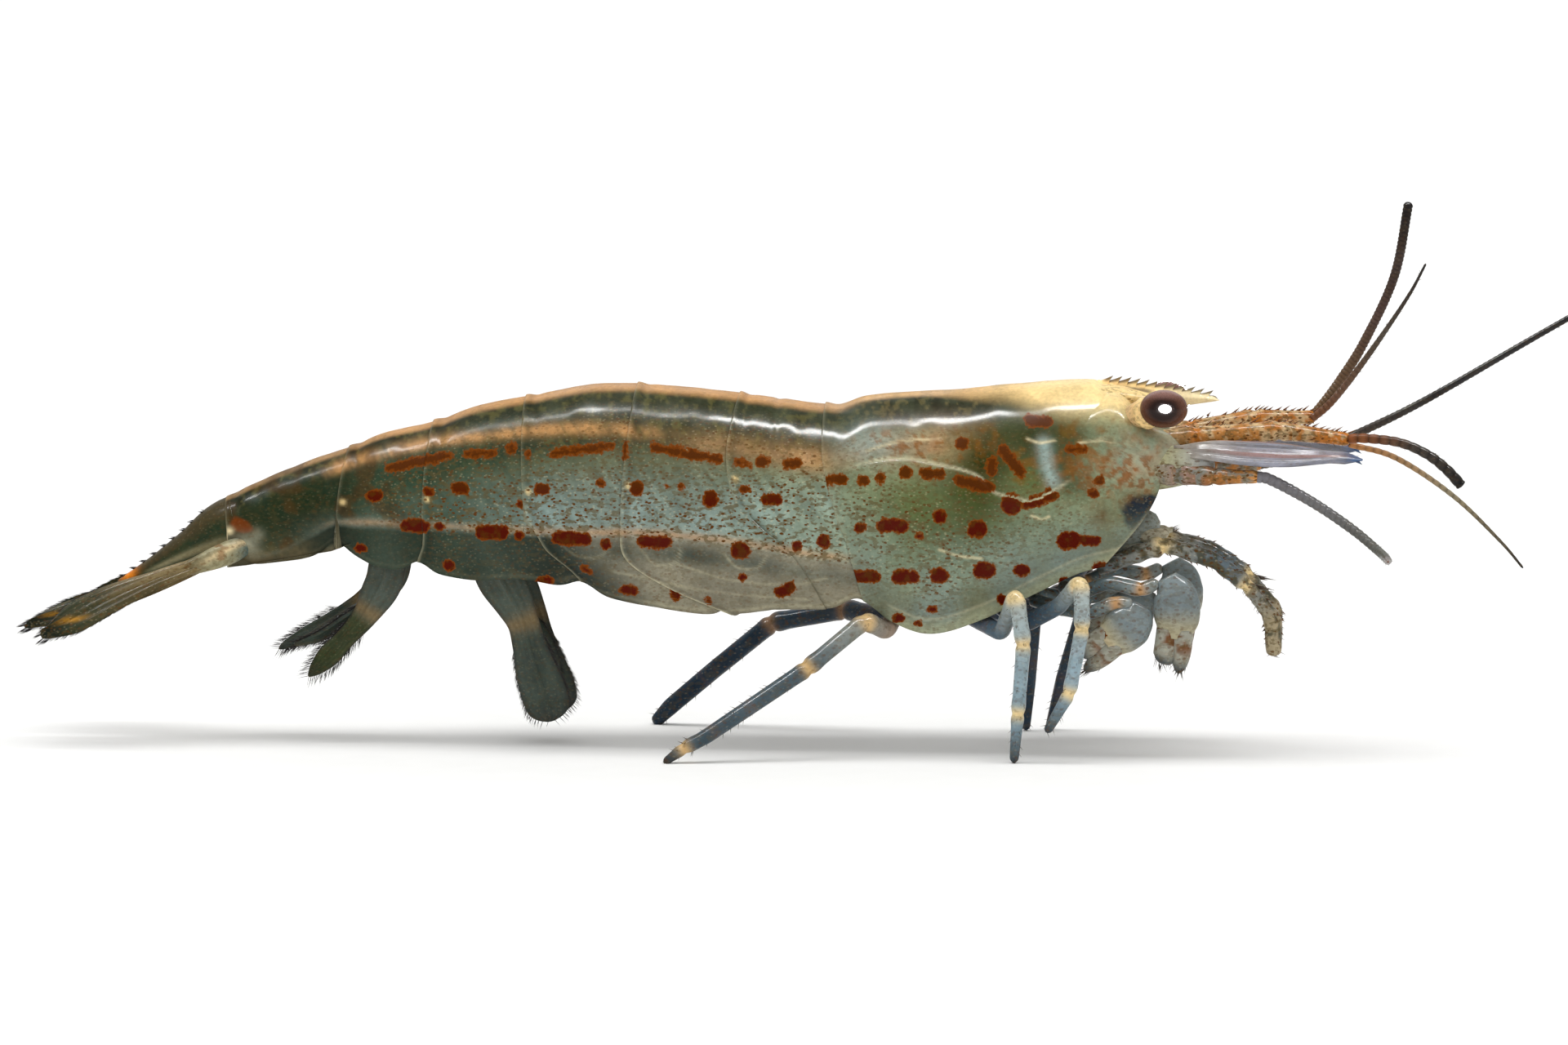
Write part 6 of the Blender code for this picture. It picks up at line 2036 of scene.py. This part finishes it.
camera_data = bpy.data.cameras.new("studio_camera")
camera_data.sensor_width = SENSOR
camera_data.lens = LENS
camera_data.clip_start = NEAREST
camera_data.clip_end = FARTHEST
camera = bpy.data.objects.new("studio_camera", camera_data)
level = math.cos(ELEVATION)
towards_camera = np.array((math.sin(AZIMUTH) * level, -math.cos(AZIMUTH) * level, math.sin(ELEVATION)))
turn_to(camera, AIM + towards_camera * DISTANCE, AIM)
bpy.context.scene.camera = camera
print("camera height above the floor:", round(camera.location.z / MM, 1), "mm")

# %% [markdown]
# The light is soft: one big box overhead, one beside the camera and one behind that lifts the outline off
# the paper. A box that lights well makes too broad a shine on a wet back, so the jobs are split: the
# overhead box only lights, and a thin strip beside it only shines and draws the line of gloss. Each eye
# has a small lamp for its one bright point. Light linking limits that lamp to its own eye, and keeps the
# strip off both.

# %% Hang the lights
def hang_light(name, place, size, watts, shape="RECTANGLE", job="both"):
    """A light at a place in millimetres from the animal; its `job` is to light, to shine or both."""
    data = bpy.data.lights.new(name, "AREA")
    data.shape = shape
    data.size, data.size_y = size[0] * MM, size[-1] * MM
    data.energy = watts
    light = bpy.data.objects.new(name, data)
    light.visible_diffuse = job != "shine"
    light.visible_glossy = job != "light"
    turn_to(light, np.array(place) * MM + HOME, AIM)
    return light


hang_light("overhead_soft_box", (0, -6, 400), (600, 160), 1.10, job="light")
strip = hang_light("overhead_strip", (0, -66, 400), (620, 40), 8.0, job="shine")
shells = bpy.data.collections.new("all_but_the_eyes")
strip.light_linking.receiver_collection = shells
hang_light("front_soft_box", (90, -420, 240), (460, 360), 0.42, job="light")
hang_light("back_soft_box", (-60, 300, 260), (500, 200), 0.25)
for side, label in SIDES:
    eye = bpy.data.collections.new(f"eye_{label}")
    eye.objects.link(bpy.data.objects[f"eye_globe_{label}"])
    shells.objects.link(bpy.data.objects[f"eye_globe_{label}"])
    eye_lamp = hang_light(f"eye_lamp_{label}", (16.2, 30 * side, 16.3), (30,), 0.40, "DISK", job="shine")
    eye_lamp.visible_camera = False
    eye_lamp.light_linking.receiver_collection = eye
for member in shells.collection_objects:
    member.light_linking.link_state = "EXCLUDE"

# %% [markdown]
# What the lamps don't reach is lit by the world, an even white that stands for the walls of the studio.
# The Standard view keeps white paper white: a film-like view would grey it and dull the colours, which
# were all given as they look on a screen.

# %% Light the room
studio = bpy.data.worlds.new("pale_studio")
studio.use_nodes = True
walls = studio.node_tree.nodes["Background"].inputs
walls["Color"].default_value = (1.0, 1.0, 1.0, 1.0)
walls["Strength"].default_value = 0.55
bpy.context.scene.world = studio
bpy.context.scene.view_settings.view_transform = "Standard"
print("light from the walls:", round(walls["Strength"].default_value, 2))

# %% [markdown]
